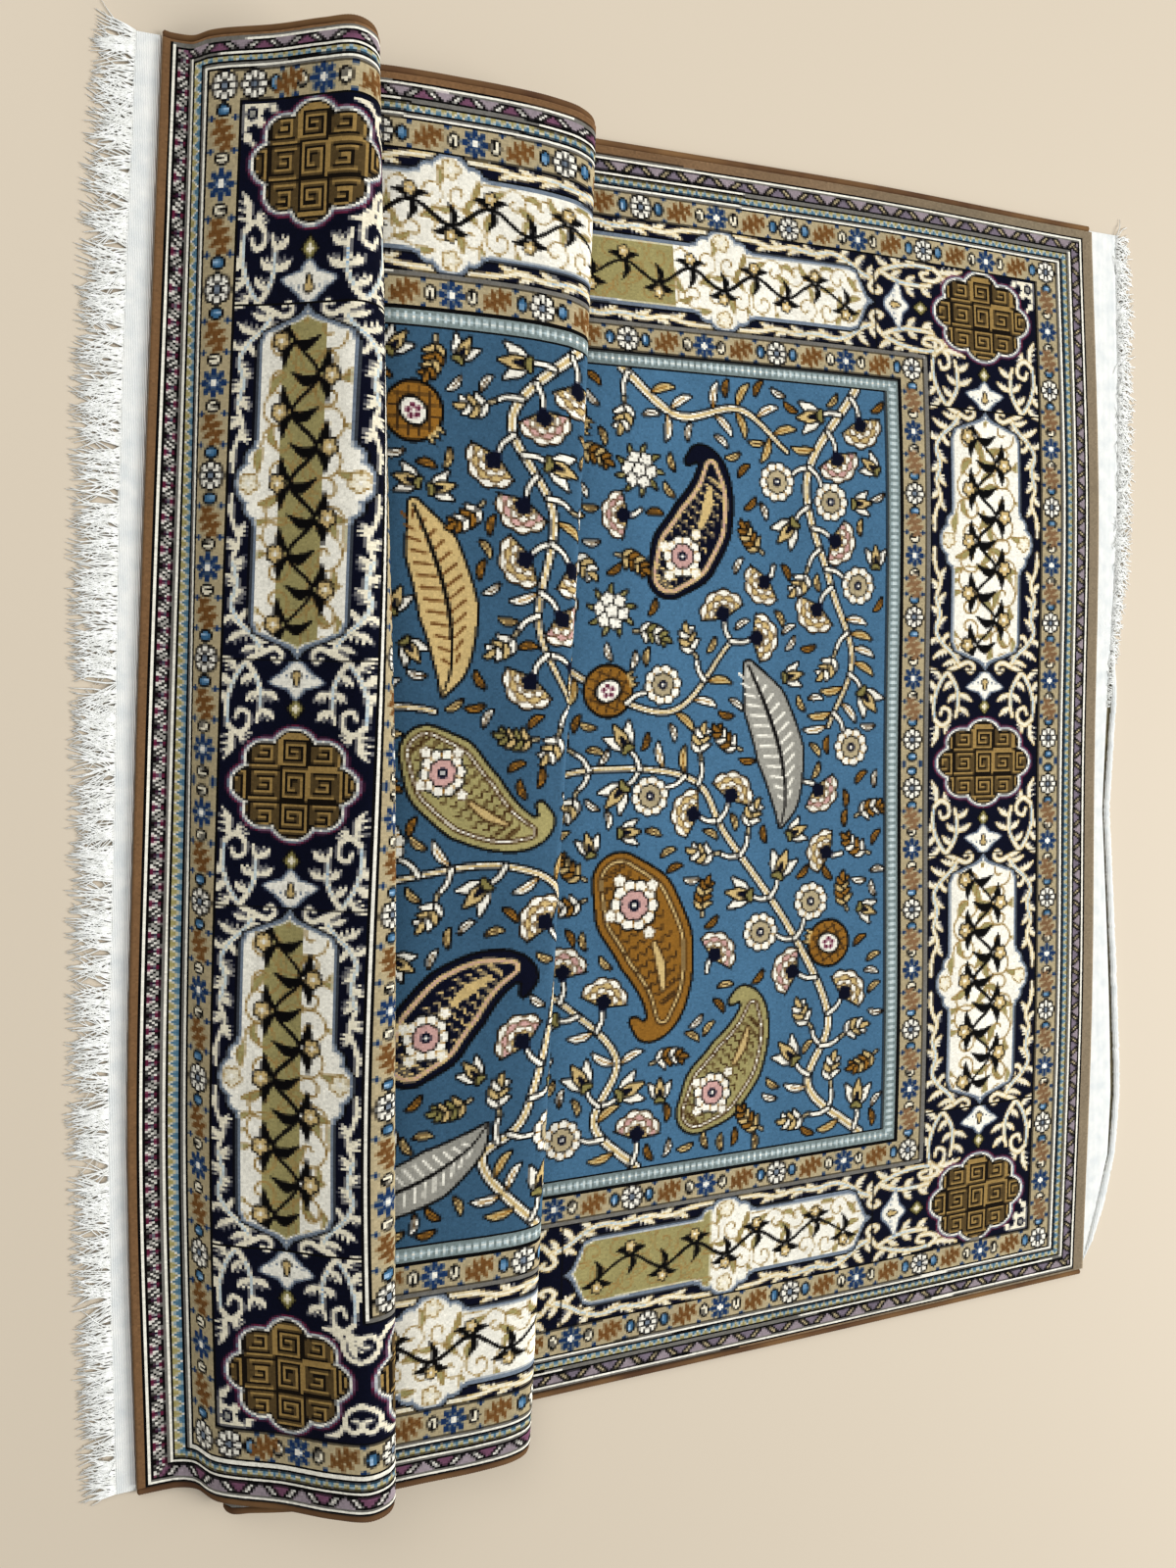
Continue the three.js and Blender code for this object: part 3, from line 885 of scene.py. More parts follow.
def tulip(chart, spot):
    """Side view of a flower with three petals and a dark throat."""
    for turn, wool in ((-0.62, "ivory"), (0.62, "ivory"), (0, "gold")):
        chart.stroke(spot.at(0, 0, turn), [(0, 0), (6, 0), (13, 0)], (1.8, 2.9, 0.4), wool, "outline", 1.1)
    chart.stroke(spot, [(1, 0), (6, 0)], (1.6, 0.5), "navy", "outline", 0.6)
    chart.stroke(spot, [(-1, -2.4), (0, 0), (-1, 2.4)], (0.9, 1.6, 0.9), "olive", "outline")


def lotus(a, b, warm):
    """Half-open flower: rows of petals behind each other over a dark heart."""
    r, t = np.hypot(a, b), np.arctan2(b, a)
    rim = 17 + 1.6 * np.abs(np.sin(t * 5)) - 1.2 * np.abs(t)
    yield (np.abs(t) < 1.3 + 1.3 / (r + 1)) & (r < rim), "outline"
    fan = np.abs(t) < 1.3
    for reach, wool, slip in ((15.6, "ivory", 0), (12.6, warm, 1.57), (9.8, "ivory", 0), (7.2, "gold", 1.57)):
        far = r - (reach + 1.6 * np.abs(np.sin(t * 5 + slip)) - 1.2 * np.abs(t))
        yield fan & (far < 0.8), "bark"
        yield fan & (far < 0), wool
    yield discs(a, b, [(0.5, 0, 2.6), (3.4, 2.4, 2.2), (3.4, -2.4, 2.2), (5.4, 0, 2)]) < 0.4, "navy"


def peony(a, b, outer, inner):
    """Round open flower with two rings of petals."""
    r, t = np.hypot(a, b), np.arctan2(b, a)
    far = r - (10.8 + 1.5 * np.abs(np.sin(5 * t)))
    yield far < 1.1, "outline"
    yield far < 0, outer
    yield (far < 0) & (r > 7) & (np.abs(np.sin(5 * t)) < 1.0 / r * 2), "camel"
    ring = r - (6.4 + 0.9 * np.abs(np.sin(4 * t + 0.4)))
    yield ring < 0.9, "outline"
    yield ring < 0, inner
    yield r < 3.0, "navy"
    yield r < 1.2, "ivory"


def blossoms(chart, spot, wool):
    """Cluster of small open flowers over pointed leaves."""
    for k in range(9):
        turn = k * 0.7
        root = spot.at(9 * math.cos(turn), 9 * math.sin(turn), turn)
        leaf(chart, root, 9, 1.7, "olive" if k % 2 else "khaki")
    for a, b, _ in ring_of(6, 8.4, 0) + [(0, 0, 0)]:
        chart.shape(spot.at(a, b), 9, five_petals, wool, "outline")


def boteh(chart, spot, wool, band_wool, dark):
    """Large curved drop with a border of its own, scales and a flower inside."""
    outline = [(-20, 0), (-8, 0), (6, 1), (20, 5), (30, 12), (31, 20), (25, 22)]
    radii = (10, 15.5, 14.5, 10, 5.6, 3.2, 1.4)
    chart.stroke(spot, outline, radii, wool, "outline", 1.4)
    chart.stroke(spot, outline[:5], (8.4, 13.4, 12.4, 7.9, 3.4), dark)
    chart.stroke(spot, outline[:5], (7.6, 12.6, 11.6, 7.1, 2.6), band_wool)
    chart.stroke(spot, outline[:5], (6.2, 11.2, 10.2, 5.7, 1.4), wool, dark, 0.9)
    for k in range(14):
        t = k / 13
        a = -25 + 50 * t
        reach = 10 * math.sin(math.pi * (0.12 + 0.8 * t)) ** 0.7
        for j in range(-2, 3):
            b = 5.5 * t * t + j * reach / 2.6 + (reach / 5 if k % 2 else 0)
            chart.stroke(spot, [(a, b - 1.3), (a + 1.5, b), (a, b + 1.3)], (0.4, 0.4), dark)
    chart.shape(spot.at(-10, 0, 0, 0.72), 22, peony, "ivory", "rose")
    for a, b in ((-20.5, 0), (-12, 9.5), (-12, -9.5), (1.5, 0.5)):
        chart.shape(spot.at(a, b, 0, 0.45), 8, five_petals, "ivory", dark)
    chart.stroke(spot, [(6, 1), (14, 3), (22, 7)], (0.7, 1.6, 0.5), "gold", dark)


def great_leaf(chart, spot, wool, stripe):
    """Large pointed leaf, barred across."""
    mid = [(-30, 0), (-12, 2), (8, 2), (26, -2), (36, -8)]
    chart.stroke(spot, mid, (2, 9.5, 10.5, 6, 0.6), wool, "outline", 1.3)
    for k in range(13):
        a = -26 + 4.4 * k
        reach = 8.2 * math.sin(math.pi * min(1, (k + 1.2) / 15)) + 0.5
        bend = 2 - 0.006 * (a - 2) ** 2
        for side in (-1, 1):
            chart.stroke(spot, [(a, bend + side), (a - 2.5, bend + side * reach * 0.85)], (0.45, 0.6), stripe)
    chart.stroke(spot, mid, (0.5, 0.8, 0.8, 0.5, 0.3), "outline")


def pomegranate(a, b):
    r = np.hypot(a, b)
    crown = (np.abs(b) < 4.2) & (a > 8) & (a < 16 - 2.6 * np.abs(np.sin(b * 1.1)))
    yield crown | (r < 12.3), "outline"
    yield (np.abs(b) < 3.2) & (a > 9) & (a < 14.6 - 2.6 * np.abs(np.sin(b * 1.1))), "gold"
    yield r < 11, "camel"
    net = (np.abs(np.mod(a + b, 6) - 3) < 0.6) | (np.abs(np.mod(a - b, 6) - 3) < 0.6)
    yield (r < 10) & net, "bark"
    heart = np.hypot(a * 0.8, b) < 5.4
    yield heart, "outline"
    yield np.hypot(a * 0.8, b) < 4.4, "ivory"
    yield discs(a, b, ring_of(5, 2.2, 1.1)) < 0, "burgundy"


# Flowering branches of the field, knots from the field's near left corner
BRANCHES = (
    ((0, 515), (55, 488), (115, 500), (160, 512), (200, 500)),
    ((448, 518), (415, 490), (375, 500), (320, 480), (262, 448), (228, 430), (222, 380), (240, 345)),
    ((448, 405), (420, 385), (385, 395), (352, 372), (330, 345)),
    ((0, 400), (24, 425), (18, 455), (40, 478)),
    ((60, 345), (95, 365), (140, 355), (165, 372), (190, 420), (150, 450)),
    ((0, 205), (40, 178), (85, 195), (140, 190), (180, 205)),
    ((448, 195), (410, 172), (385, 190), (290, 205), (262, 180), (270, 120)),
    ((0, 100), (50, 110), (90, 108), (170, 115), (185, 150)),
    ((448, 100), (400, 118), (345, 108), (300, 112)),
    ((225, 300), (180, 285), (150, 300), (90, 280), (40, 300)),
    ((225, 250), (290, 260), (330, 240), (400, 260)),
    ((225, 20), (200, 60), (215, 90)),
)

# Wools of the drops, for body, band and lines, and of the large leaves, for body and bars
BOTEHS = {
    "camel boteh": ("camel", "gold", "bark"),
    "navy boteh": ("navy", "rose", "gold"),
    "olive boteh": ("khaki", "ivory", "bark"),
}
GREAT_LEAVES = {"grey leaf": ("stone", "ivory"), "gold leaf": ("gold", "rust")}

# Large motifs of the field: kind, place, turn, size, flip
GREAT = (
    ("navy boteh", 92, 432, 2.5, 1.3, 1),
    ("camel boteh", 312, 410, 0.55, 1.6, -1),
    ("grey leaf", 205, 470, 0.35, 1.45, 1),
    ("olive boteh", 402, 448, 2.35, 1.3, 1),
    ("pomegranate", 28, 372, 1.2, 1.25, 1),
    ("pomegranate", 178, 392, 2.0, 1.25, 1),
    ("pomegranate", 330, 500, -1.9, 1.2, 1),
    ("navy boteh", 335, 155, 2.5, 1.3, -1),
    ("gold leaf", 125, 150, 0.3, 1.4, 1),
    ("olive boteh", 225, 160, 0.7, 1.3, 1),
    ("pomegranate", 40, 140, 0.8, 1.25, 1),
    ("grey leaf", 415, 145, 1.9, 1.2, -1),
    ("camel boteh", 110, 255, 0.4, 1.4, 1),
    ("camel boteh", 330, 290, 2.4, 1.4, -1),
    ("olive boteh", 225, 60, 1.6, 1.3, 1),
    ("pomegranate", 120, 60, 1.6, 1.3, 1),
    ("pomegranate", 330, 60, 1.6, 1.3, 1),
)


def field_pattern(chart, band):
    """Flowering branches with large drops, leaves and fruit between them, and small flowers on the rest."""
    chart.clip = band == BAND["field"]
    left, low = STRIPES[-1][1], STRIPES[-1][2]
    stems = [[(left + x, low + y) for x, y in points] for points in BRANCHES]
    for points in stems:
        chart.brush(points, (2.3, 1.9, 1.5, 1.0), "ivory", "outline", 1.1)
        chart.brush(points, (1.0, 0.8, 0.5), "gold")
    for kind, x, y, turn, size, flip in GREAT:
        spot = Spot(left + x, low + y, turn, size, flip)
        if kind in BOTEHS:
            boteh(chart, spot, *BOTEHS[kind])
        elif kind in GREAT_LEAVES:
            great_leaf(chart, spot, *GREAT_LEAVES[kind])
        else:
            chart.shape(spot, 30, pomegranate)
    for k, points in enumerate(stems):
        branch_flowers(chart, np.array(points), k)
    scatter(chart, left, low)
    chart.clip = None


def branch_flowers(chart, points, first):
    """Flower heads and leaves on both sides of a branch, where there is room."""
    long = np.hypot(*np.diff(points, axis=0).T).sum()
    count = max(4, int(long / 10))
    places = np.linspace(0.1, len(points) - 1, count)
    path = np.stack([through(points[:, 0], places), through(points[:, 1], places)], 1)
    ahead = np.gradient(path, axis=0)
    for k, ((x, y), (dx, dy)) in enumerate(zip(path, ahead)):
        turn = math.atan2(dy, dx)
        for side in (1, -1) if k % 2 else (-1, 1):
            twig = Spot(x, y, turn + side * 0.9)
            kind = (k + first) % 5
            away, room = ((24, 13), (22, 9), (24, 13), (24, 11), (25, 12))[kind]
            (hx, hy), = twig.to([(away, 0)])
            if not chart.free(hx, hy, room, "blue"):
                continue
            chart.stroke(twig, [(0, 0), (7, side * 1.5), (14, 0)], (1.2, 1.0, 0.9), "ivory", "outline")
            head = twig.at(14, 0)
            if kind in (0, 2):
                chart.shape(head.at(0, 0, 0, 0.95), 26, lotus, "rose" if kind else "gold")
            elif kind == 1:
                tulip(chart, head.at(0, 0, 0, 1.15))
            elif kind == 4:
                chart.shape(head.at(10, 0, 0, 0.9), 20, peony, "ivory", "tan")
            else:
                spray(chart, head, 3, "ivory", "gold")
        for side in (1, -1):
            twig = Spot(x, y, turn + side * 1.1).at(3, 0)
            (hx, hy), = twig.to([(9, 0)])
            if chart.free(hx, hy, 5, "blue"):
                leaf(chart, twig, 14, 2.5, "gold" if k % 2 else "ivory", "camel")


# Tries at a place for large flowers, then for sprays, tulips and leaves
TRIES_LARGE, TRIES_SPRAY, TRIES_TULIP, TRIES = 2400, 4200, 6000, 12000


def scatter(chart, left, low):
    """Flower heads, sprays and leaves on the ground that is still bare, the large ones first."""
    rng = np.random.default_rng(3)
    for k, (u, v, w) in enumerate(rng.uniform(0, 1, (TRIES, 3))):
        x = left + u * (chart.wide - 2 * left)
        y = low + v * (chart.long - low - STRIPES[-1][3])
        spot = Spot(x, y, w * math.tau)
        pale = "gold" if k % 2 else "ivory"
        room = 14 if k < TRIES_LARGE else 10.5 if k < TRIES_SPRAY else 8 if k < TRIES_TULIP else 4.8
        if not chart.free(x, y, room, "blue"):
            continue
        if k < TRIES_LARGE:
            if k % 3 == 0:
                blossoms(chart, spot.at(0, 0, 0, 0.8), "ivory")
            else:
                chart.stroke(spot, [(-14, -3), (-9, 0), (-5, 0)], (0.9, 1.1, 1.2), "ivory", "outline")
                chart.shape(spot.at(-6, 0, 0, 0.9), 26, lotus, "gold" if k % 2 else "rose")
        elif k < TRIES_SPRAY:
            spray(chart, spot.at(-9, 0, 0, 0.9), 4, pale, "camel" if k % 3 else "olive")
        elif k < TRIES_TULIP:
            tulip(chart, spot.at(-5, 0, 0, 0.9))
        else:
            leaf(chart, spot.at(-4, 0), 9, 2.0, ("ivory", "gold", "camel")[k % 3], "bark")


def stripe_grounds(chart):
    """Border stripes: number of the stripe at every place; plain stripes and small repeats are drawn."""
    wide, long, ink = chart.wide, chart.long, chart.ink
    _, gx, gy = chart.window(0, 0, wide, long)
    steps = np.arange(len(STRIPES))
    q_side = np.interp(np.minimum(gx, wide - gx), [row[1] for row in STRIPES], steps)
    q_near = np.interp(gy, [row[2] for row in STRIPES], steps)
    q_far = np.interp(long - gy, [row[3] for row in STRIPES], steps)
    q_end = np.minimum(q_near, q_far)
    q = np.minimum(q_side, q_end)
    band = np.minimum(np.floor(q + 1e-9).astype(int), len(STRIPES) - 1)
    share = q - band
    along = np.where(q_end < q_side, gx - wide / 2, (gy - long / 2) * GRAIN)
    for name, wool in GROUNDS.items():
        ink[band == BAND[name]] = WOOL[wool]
    for name in ("line_a", "line_b", "line_c", "line_d"):
        here = band == BAND[name]
        ink[here] = WOOL["outline"]
        ink[here & (share > 0.33) & (share < 0.70)] = WOOL["ivory"]
    here = band == BAND["saw"]
    tooth = 2.5 * share - np.abs(along % 5 - 2.5)
    ink[here & (tooth > -0.4)] = WOOL["pearl"]
    ink[here & (tooth > 0.3)] = WOOL["teal"]
    here = band == BAND["chain"]
    ink[here & (share < 0.1)] = WOOL["outline"]
    bead = np.abs(along % 4 - 2) / 1.7 + np.abs(share - 0.5) / 0.32
    ink[here & (bead < 1)] = WOOL["frost"]
    ink[here & (bead < 0.4)] = WOOL["ivory"]
    along = np.where(q_end < q_side, along * 1.45, along)
    leaf_guard(ink, band == BAND["leaf guard"], share, along, q_near < q_side, gy < 0.45 * long)
    return band


def leaf_guard(ink, here, share, along, near, early):
    """Triangles to either side with slanted leaves between; bow ties for triangles at the near end.

    The near half was woven with plum triangles and pearl leaves.
    """
    q = np.abs(along % 22 - 11)
    slope = 5.2 * share
    ink[here] = WOOL["outline"]
    ink[here & (q < slope - 0.3)] = WOOL["mauve"]
    ink[here & (q > slope + 5.4)] = WOOL["heather"]
    ink[here & (np.abs(q - slope - 2.5) < 1.1) & (np.abs(share - 0.5) < 0.38)] = WOOL["tan"]
    ink[here & early & (q < slope - 0.3)] = WOOL["plum"]
    ink[here & early & (np.abs(q - slope - 2.5) < 1.1) & (np.abs(share - 0.5) < 0.38)] = WOOL["pearl"]
    ties = here & near & ((q < slope - 0.3) | (q > slope + 5.4))
    ink[ties] = WOOL["pearl"]
    bow = np.minimum(q, 11 - q) < 0.6 + 2.0 * np.abs(2 * share - 1)
    ink[ties & bow] = WOOL["burgundy"]
    ink[ties & bow & (np.abs(share - 0.5) < 0.2)] = WOOL["navy"]


def guards(chart, band, knot_long):
    """Flower guards on both sides of the main border."""
    wide, long = chart.wide, chart.long
    for name, near_count, far_count in (("rose guard", 7, 8), ("inner guard", 5, 6)):
        k = BAND[name]
        chart.clip = band == k
        x, near, far = ((STRIPES[k][c] + STRIPES[k + 1][c]) / 2 for c in (1, 2, 3))
        run = (long - near - far) * knot_long
        for side in (x, wide - x):
            rose_guard(chart, (side, near), (side, long - far), side_row(run), "rust")
        middle = wide / 2 - 15
        for end, count, leaves in ((near, near_count, "rust"), (long - far, far_count, "hazel")):
            rose_guard(chart, (x, end), (middle, end), flower_row(count), leaves)
            rose_guard(chart, (wide - x, end), (wide - middle, end), flower_row(count), leaves)
    chart.clip = None


def leaned(chart):
    """Chart with its side borders drawn out towards the edges, as far as LEAN says at each row."""
    fine = chart.FINE
    rows = np.arange(chart.long * fine)
    places = np.arange(chart.wide * fine)
    picks = np.broadcast_to(places, chart.ink.shape).astype(float)
    shares = np.linspace(0, 1, len(LEAN[0]))
    for lean, share, edge in zip(LEAN, LEAN_SHARE, (0, chart.wide * fine - 1)):
        pull = np.interp(rows / len(rows), shares, lean)[:, None] * fine
        fade = np.interp(np.abs(places - edge) / fine, LEAN_PLACES, share)[None, :]
        picks = picks + (1 if edge == 0 else -1) * pull * fade
    return np.take_along_axis(chart.ink, np.round(picks).astype(int), 1)


def weave_chart(wide, long, knot_long):
    """The whole rug as wool numbers."""
    chart = Chart(wide, long)
    band = stripe_grounds(chart)
    main_border(chart, band, knot_long)
    field_pattern(chart, band)
    guards(chart, band, knot_long)
    return leaned(chart)


@lru_cache
def dyed(wide, long, knot_long):
    """Linear colour of every knot: its wools, uneven dye lots along the rug, painted shade over the near half
    of the blue field and its own shade.
    """
    ink = weave_chart(wide, long, knot_long)
    rng = np.random.default_rng(7)
    shades = np.array([linear(code) for code in WOOLS.values()])
    rows = np.arange(ink.shape[0])
    dye_lots_and_shade = np.array([
        1 + 0.05 * np.sin(rows / rng.uniform(36, 68) + rng.uniform(0, 6))
        + 0.035 * np.sin(rows / rng.uniform(10, 18) + rng.uniform(0, 6)) for _ in WOOLS])
    # Painted shade: the blue of the near half of the field is darkened, where the pile shows darker under the
    # light
    dye_lots_and_shade[WOOL["blue"]] *= 0.66 + 0.34 * smooth_step((rows / len(rows) - 0.44) / 0.16)
    colour = shades[ink] * np.take_along_axis(dye_lots_and_shade.T, ink, 1)[..., None]
    # The brown edge was woven from a paler lot towards the far end
    brown = np.nonzero(ink == WOOL["brown"])
    pale = smooth_step((rows / len(rows) - 0.6) / 0.4)[brown[0], None]
    colour[brown] += pale * (np.array(linear("796c58")) - shades[WOOL["brown"]])
    # Cube roots are averaged, so that dark outlines stay dark beside ivory
    fine = Chart.FINE
    parts = np.cbrt(colour).reshape(ink.shape[0] // fine, fine, ink.shape[1] // fine, fine, 3)
    colour = parts.mean((1, 3)) ** 3
    return colour * rng.normal(1, 0.07, colour.shape[:2])[..., None].clip(0.8, 1.2)


class RUG_OT_pile(bpy.types.Operator):
    """Weave the knotted pile in strips that lie along the pleats"""

    bl_idname = "rug.weave_pile"
    bl_label = "Weave pile"

    def execute(self, context):
        s = sizes()
        knot_long = knot_length()
        wools = dyed(s.knots_across, s.knots_along, knot_long)
        pile = wool_pile()
        noise = np.random.default_rng(11).normal(0, 0.12, (s.knots_along + 1, s.knots_across + 1))
        for name, start, stop, coarse in PILE_STRIPS:
            first = int(round(start / knot_long))
            last = min(int(round(stop / knot_long)), s.knots_along)
            rows = np.append(np.arange(first, last, coarse), last)
            columns = np.arange(0, s.knots_across + 1, coarse)
            height = PILE_TOP + noise[rows][:, columns]
            height[[0, -1]] = PILE_TOP
            rows, columns, height = tucked(rows, columns, height, first == 0, last == s.knots_along)
            fold = Fold(columns / s.knots_across * 2 - 1)
            grid = fold.points(rows * knot_long, height, s.selvedge * 1000 + SEAM)
            piece = sheet_mesh(name, grid)
            paint(piece, per_face(wools, rows, columns))
            finish_piece(piece, "pile", "rug_body", pile)
        return {"FINISHED"}


def tucked(rows, columns, height, near_end, far_end):
    """Repeat the outer knots so that the pile turns down over the rug's own edges."""
    columns = np.concatenate([columns[:1], columns, columns[-1:]])
    height = np.pad(height, ((0, 0), (1, 1)), mode="edge")
    height[:, [0, -1]] = BACK_LEVEL
    if near_end:
        rows = np.concatenate([rows[:1], rows])
        height = np.concatenate([np.full((1, height.shape[1]), BACK_LEVEL), height])
    if far_end:
        rows = np.append(rows, rows[-1])
        height = np.concatenate([height, np.full((1, height.shape[1]), BACK_LEVEL)])
    return rows, columns, height


def per_face(wools, rows, columns):
    """Mean colour of the knots under each face; a face that only turns an edge takes the nearest knot."""
    wools = wools[:rows[-1]]
    for axis, cuts in enumerate((rows, columns)):
        starts = np.minimum(cuts[:-1], wools.shape[axis] - 1)
        counts = np.maximum(np.diff(np.append(starts, wools.shape[axis])), 1)
        wools = np.add.reduceat(wools, starts, axis) / np.expand_dims(counts, (1 - axis, 2))
    return wools


class RUG_OT_back(bpy.types.Operator):
    """Weave the flat back of the rug"""

    bl_idname = "rug.weave_back"
    bl_label = "Weave back"

    def execute(self, context):
        s = sizes()
        rows = np.linspace(0, s.knots_along, s.knots_along // BACK_KNOTS + 1).astype(int)
        columns = np.linspace(0, s.knots_across, s.knots_across // BACK_KNOTS + 1).astype(int)
        fold = Fold(1 - columns / s.knots_across * 2)
        grid = fold.points(rows * knot_length(), BACK_LEVEL, s.selvedge * 1000 + SEAM)
        piece = sheet_mesh("rug_back", grid)
        wools = dyed(s.knots_across, s.knots_along, knot_length())[:, ::-1]
        paint(piece, 0.7 * per_face(wools, rows, columns) + 0.04)
        finish_piece(piece, "pile", "rug_body", woven_back())
        return {"FINISHED"}


class RUG_OT_selvedges(bpy.types.Operator):
    """Overcast the two long sides with wool yarn"""

    bl_idname = "rug.bind_selvedges"
    bl_label = "Bind selvedges"

    def execute(self, context):
        s = sizes()
        rows = np.arange(0, s.long * 1000, YARN_PITCH / 2)
        half = s.selvedge * 500
        turn = np.arange(8) / 8 * math.tau
        yarn = overcast_wool()
        for name, u in (("left", -1), ("right", 1)):
            fold = Fold([u])
            low = fold.points(rows, -0.5, half)[:, 0]
            high = fold.points(rows, 0.5, half)[:, 0]
            normal = (high - low) / 0.001
            swell = np.where(np.arange(len(rows)) % 2 == 0, 1.0, 0.90)
            swell[[0, -1]] = 0.5
            out = np.array([half * 0.001, 0, 0]) * swell[:, None]
            up = normal * YARN_HALF * 0.001 * swell[:, None]
            rings = (low[:, None] + np.cos(turn)[None, :, None] * out[:, None]
                     + np.sin(turn)[None, :, None] * up[:, None])
            piece = tube_mesh("overcast_" + name, rings)
            finish_piece(piece, "selvedge", "selvedge_" + name, yarn)
        return {"FINISHED"}


class RUG_OT_ends(bpy.types.Operator):
    """Weave the plain cotton strip at each end; the far one has a rolled hem"""

    bl_idname = "rug.weave_ends"
    bl_label = "Weave end strips"

    def execute(self, context):
        u = np.linspace(-1, 1, 520)
        ripple = 0.35 * np.sin(u * 41) + 0.25 * np.sin(u * 97 + 1)
        knobs = np.random.default_rng(21).normal(0, 1, (2, len(u)))
        cottons = cotton_weave(), shaded_cotton()
        for name, node_name, end in (("kilim_near", "fringe_near", -1), ("kilim_far", "fringe_far", 1)):
            x, inner, flat = end_strip(u, end)
            crease, roll = np.full_like(u, 0.3), np.full_like(u, 0.4)
            if end > 0:
                crease, roll = table_at(FAR_CREASE, u), table_at(FAR_ROLL, u)
            rows = [(np.zeros_like(u), np.full_like(u, 0.4))]
            for t in np.linspace(0.02, 1, 9):
                rows.append((flat * t, 2.4 + 0.3 * ripple * math.sin(math.pi * t)))
            rows.append((flat + crease * 0.4, np.full_like(u, 0.6)))
            rows.append((flat + crease, np.full_like(u, 0.35)))
            high = np.minimum(5.5, roll * 0.55)
            for turn in np.linspace(math.pi * 0.88, 0, 8):
                wobble = 0.35 * knobs[0] * np.minimum(1, roll / 8)
                y = flat + crease + roll * (0.3 + 0.5 * math.cos(turn)) + wobble
                z = 0.3 + high * math.sin(turn) * (1 + 0.06 * knobs[1])
                rows.append((y, z))
            grid = np.stack([np.stack([x, inner + end * y, z], -1) for y, z in rows]) * 0.001
            if end < 0:
                grid = grid[:, ::-1]
            piece = sheet_mesh(name, grid)
            finish_piece(piece, "fringe", node_name, *cottons)
            # Faces in the crease take the darker cotton, painted shade under the rolled hem with some soiling
            in_crease = np.zeros((len(rows) - 1, len(u) - 1), np.int32)
            in_crease[9:12] = end > 0
            piece.data.polygons.foreach_set("material_index", in_crease.reshape(-1))
        return {"FINISHED"}


class RUG_OT_fringes(bpy.types.Operator):
    """Lay the loose warp ends of both fringes on the floor"""

    bl_idname = "rug.lay_fringes"
    bl_label = "Lay fringes"

    def execute(self, context):
        s = sizes()
        rng = np.random.default_rng(5)
        u = np.sort(rng.uniform(-1, 1, s.near_strands))
        locks = rng.normal(0, 0.26, 400)
        lean = locks[(u * 110 + 200).astype(int)] + rng.normal(0, 0.12, len(u))
        near = self.lay("fringe_near", -1, u, across(NEAR_LONG, u), lean, 0.35, 1.6, rng)
        rng = np.random.default_rng(8)
        u = np.sort(rng.uniform(-1, -0.1, s.far_strands))
        far = self.lay("fringe_far", 1, u, table_at(FAR_LONG, u), rng.normal(0, 0.4, len(u)), 0.8, 4.5, rng)
        cotton = fringe_cotton()
        finish_piece(near, "fringe", "fringe_near", cotton)
        finish_piece(far, "fringe", "fringe_far", cotton)
        return {"FINISHED"}

    def lay(self, name, end, u, long, lean, bend, lift, rng):
        """Strands from the outer edge of a strip: lean and bend in radians, lift off the floor in mm."""
        count = len(u)
        x, inner, flat = end_strip(u, end)
        steps = 5
        t = np.linspace(0, 1, steps)[None, :]
        turn = lean[:, None] + np.cumsum(rng.normal(0, bend / 2, (count, steps)), 1)
        run = (long * rng.uniform(0.75, 1.2, count) / (steps - 1))[:, None] * (t > 0)
        px = x[:, None] + np.cumsum(np.sin(turn) * run, 1)
        py = (inner + end * (flat - 1))[:, None] + end * np.cumsum(np.cos(turn) * run, 1)
        rise = rng.uniform(0, lift, count)[:, None] * np.sin(math.pi * np.minimum(1, t * 1.2)) ** 2
        centre = np.stack([px, py, 0.9 + 1.2 * (1 - t) + rise], -1)
        radius = rng.uniform(0.9, 1.25, count)[:, None] * (1 - 0.5 * t ** 2)
        return strands_mesh(name + "_strands", centre, radius)


def end_strip(u, end):
    """Places over an end strip, mm: x, inner edge and width of the flat weave."""
    place = 0 if end < 0 else len(SECTION) - 1
    x = width_at(place, 1) + u * (width_at(place, 2) - 4)
    if end < 0:
        return x, across(LINES["near"], u) - SEAM, across(NEAR_STRIP, u)
    return x, across(LINES["far"], u) + SEAM, table_at(FAR_FLAT, u)


def finish_piece(piece, slot, node_name, *materials):
    """Give a piece its materials and its place in the frame."""
    for material in materials:
        piece.data.materials.append(material)
    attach(piece, "root")
    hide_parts(node_name)


def tube_mesh(name, rings):
    """Closed tube through rings of points."""
    count, sides = rings.shape[:2]
    a = np.arange(count - 1)[:, None] * sides + np.arange(sides)[None, :]
    b = np.arange(count - 1)[:, None] * sides + (np.arange(sides)[None, :] + 1) % sides
    quads = np.stack([a, a + sides, b + sides, b], -1).reshape(-1, 4).tolist()
    quads.append(list(range(sides)))
    quads.append(list(range(count * sides - 1, (count - 1) * sides - 1, -1)))
    return mesh_object(name, rings.reshape(-1, 3), quads)


def strands_mesh(name, centre, radius):
    """Thin three-sided strands, joined in one mesh; mm in, metres out."""
    count, steps = centre.shape[:2]
    turn = np.arange(3) / 3 * math.tau + math.pi / 2
    out = np.stack([np.cos(turn), np.zeros(3), np.sin(turn)], -1)
    rings = centre[:, :, None] + radius[:, :, None, None] * out[None, None]
    rings[..., 2] = np.maximum(rings[..., 2], 0.15)
    base = (np.arange(count)[:, None, None] * steps + np.arange(steps - 1)[None, :, None]) * 3
    a = base + np.arange(3)[None, None, :]
    b = base + (np.arange(3)[None, None, :] + 1) % 3
    quads = np.stack([a, b, b + 3, a + 3], -1).reshape(-1, 4).tolist()
    first = np.arange(count) * steps * 3
    last = first + (steps - 1) * 3
    caps = [(i + 2, i + 1, i) for i in first.tolist()]
    caps += [(i, i + 1, i + 2) for i in last.tolist()]
    return mesh_object(name, rings.reshape(-1, 3) * 0.001, quads + caps)


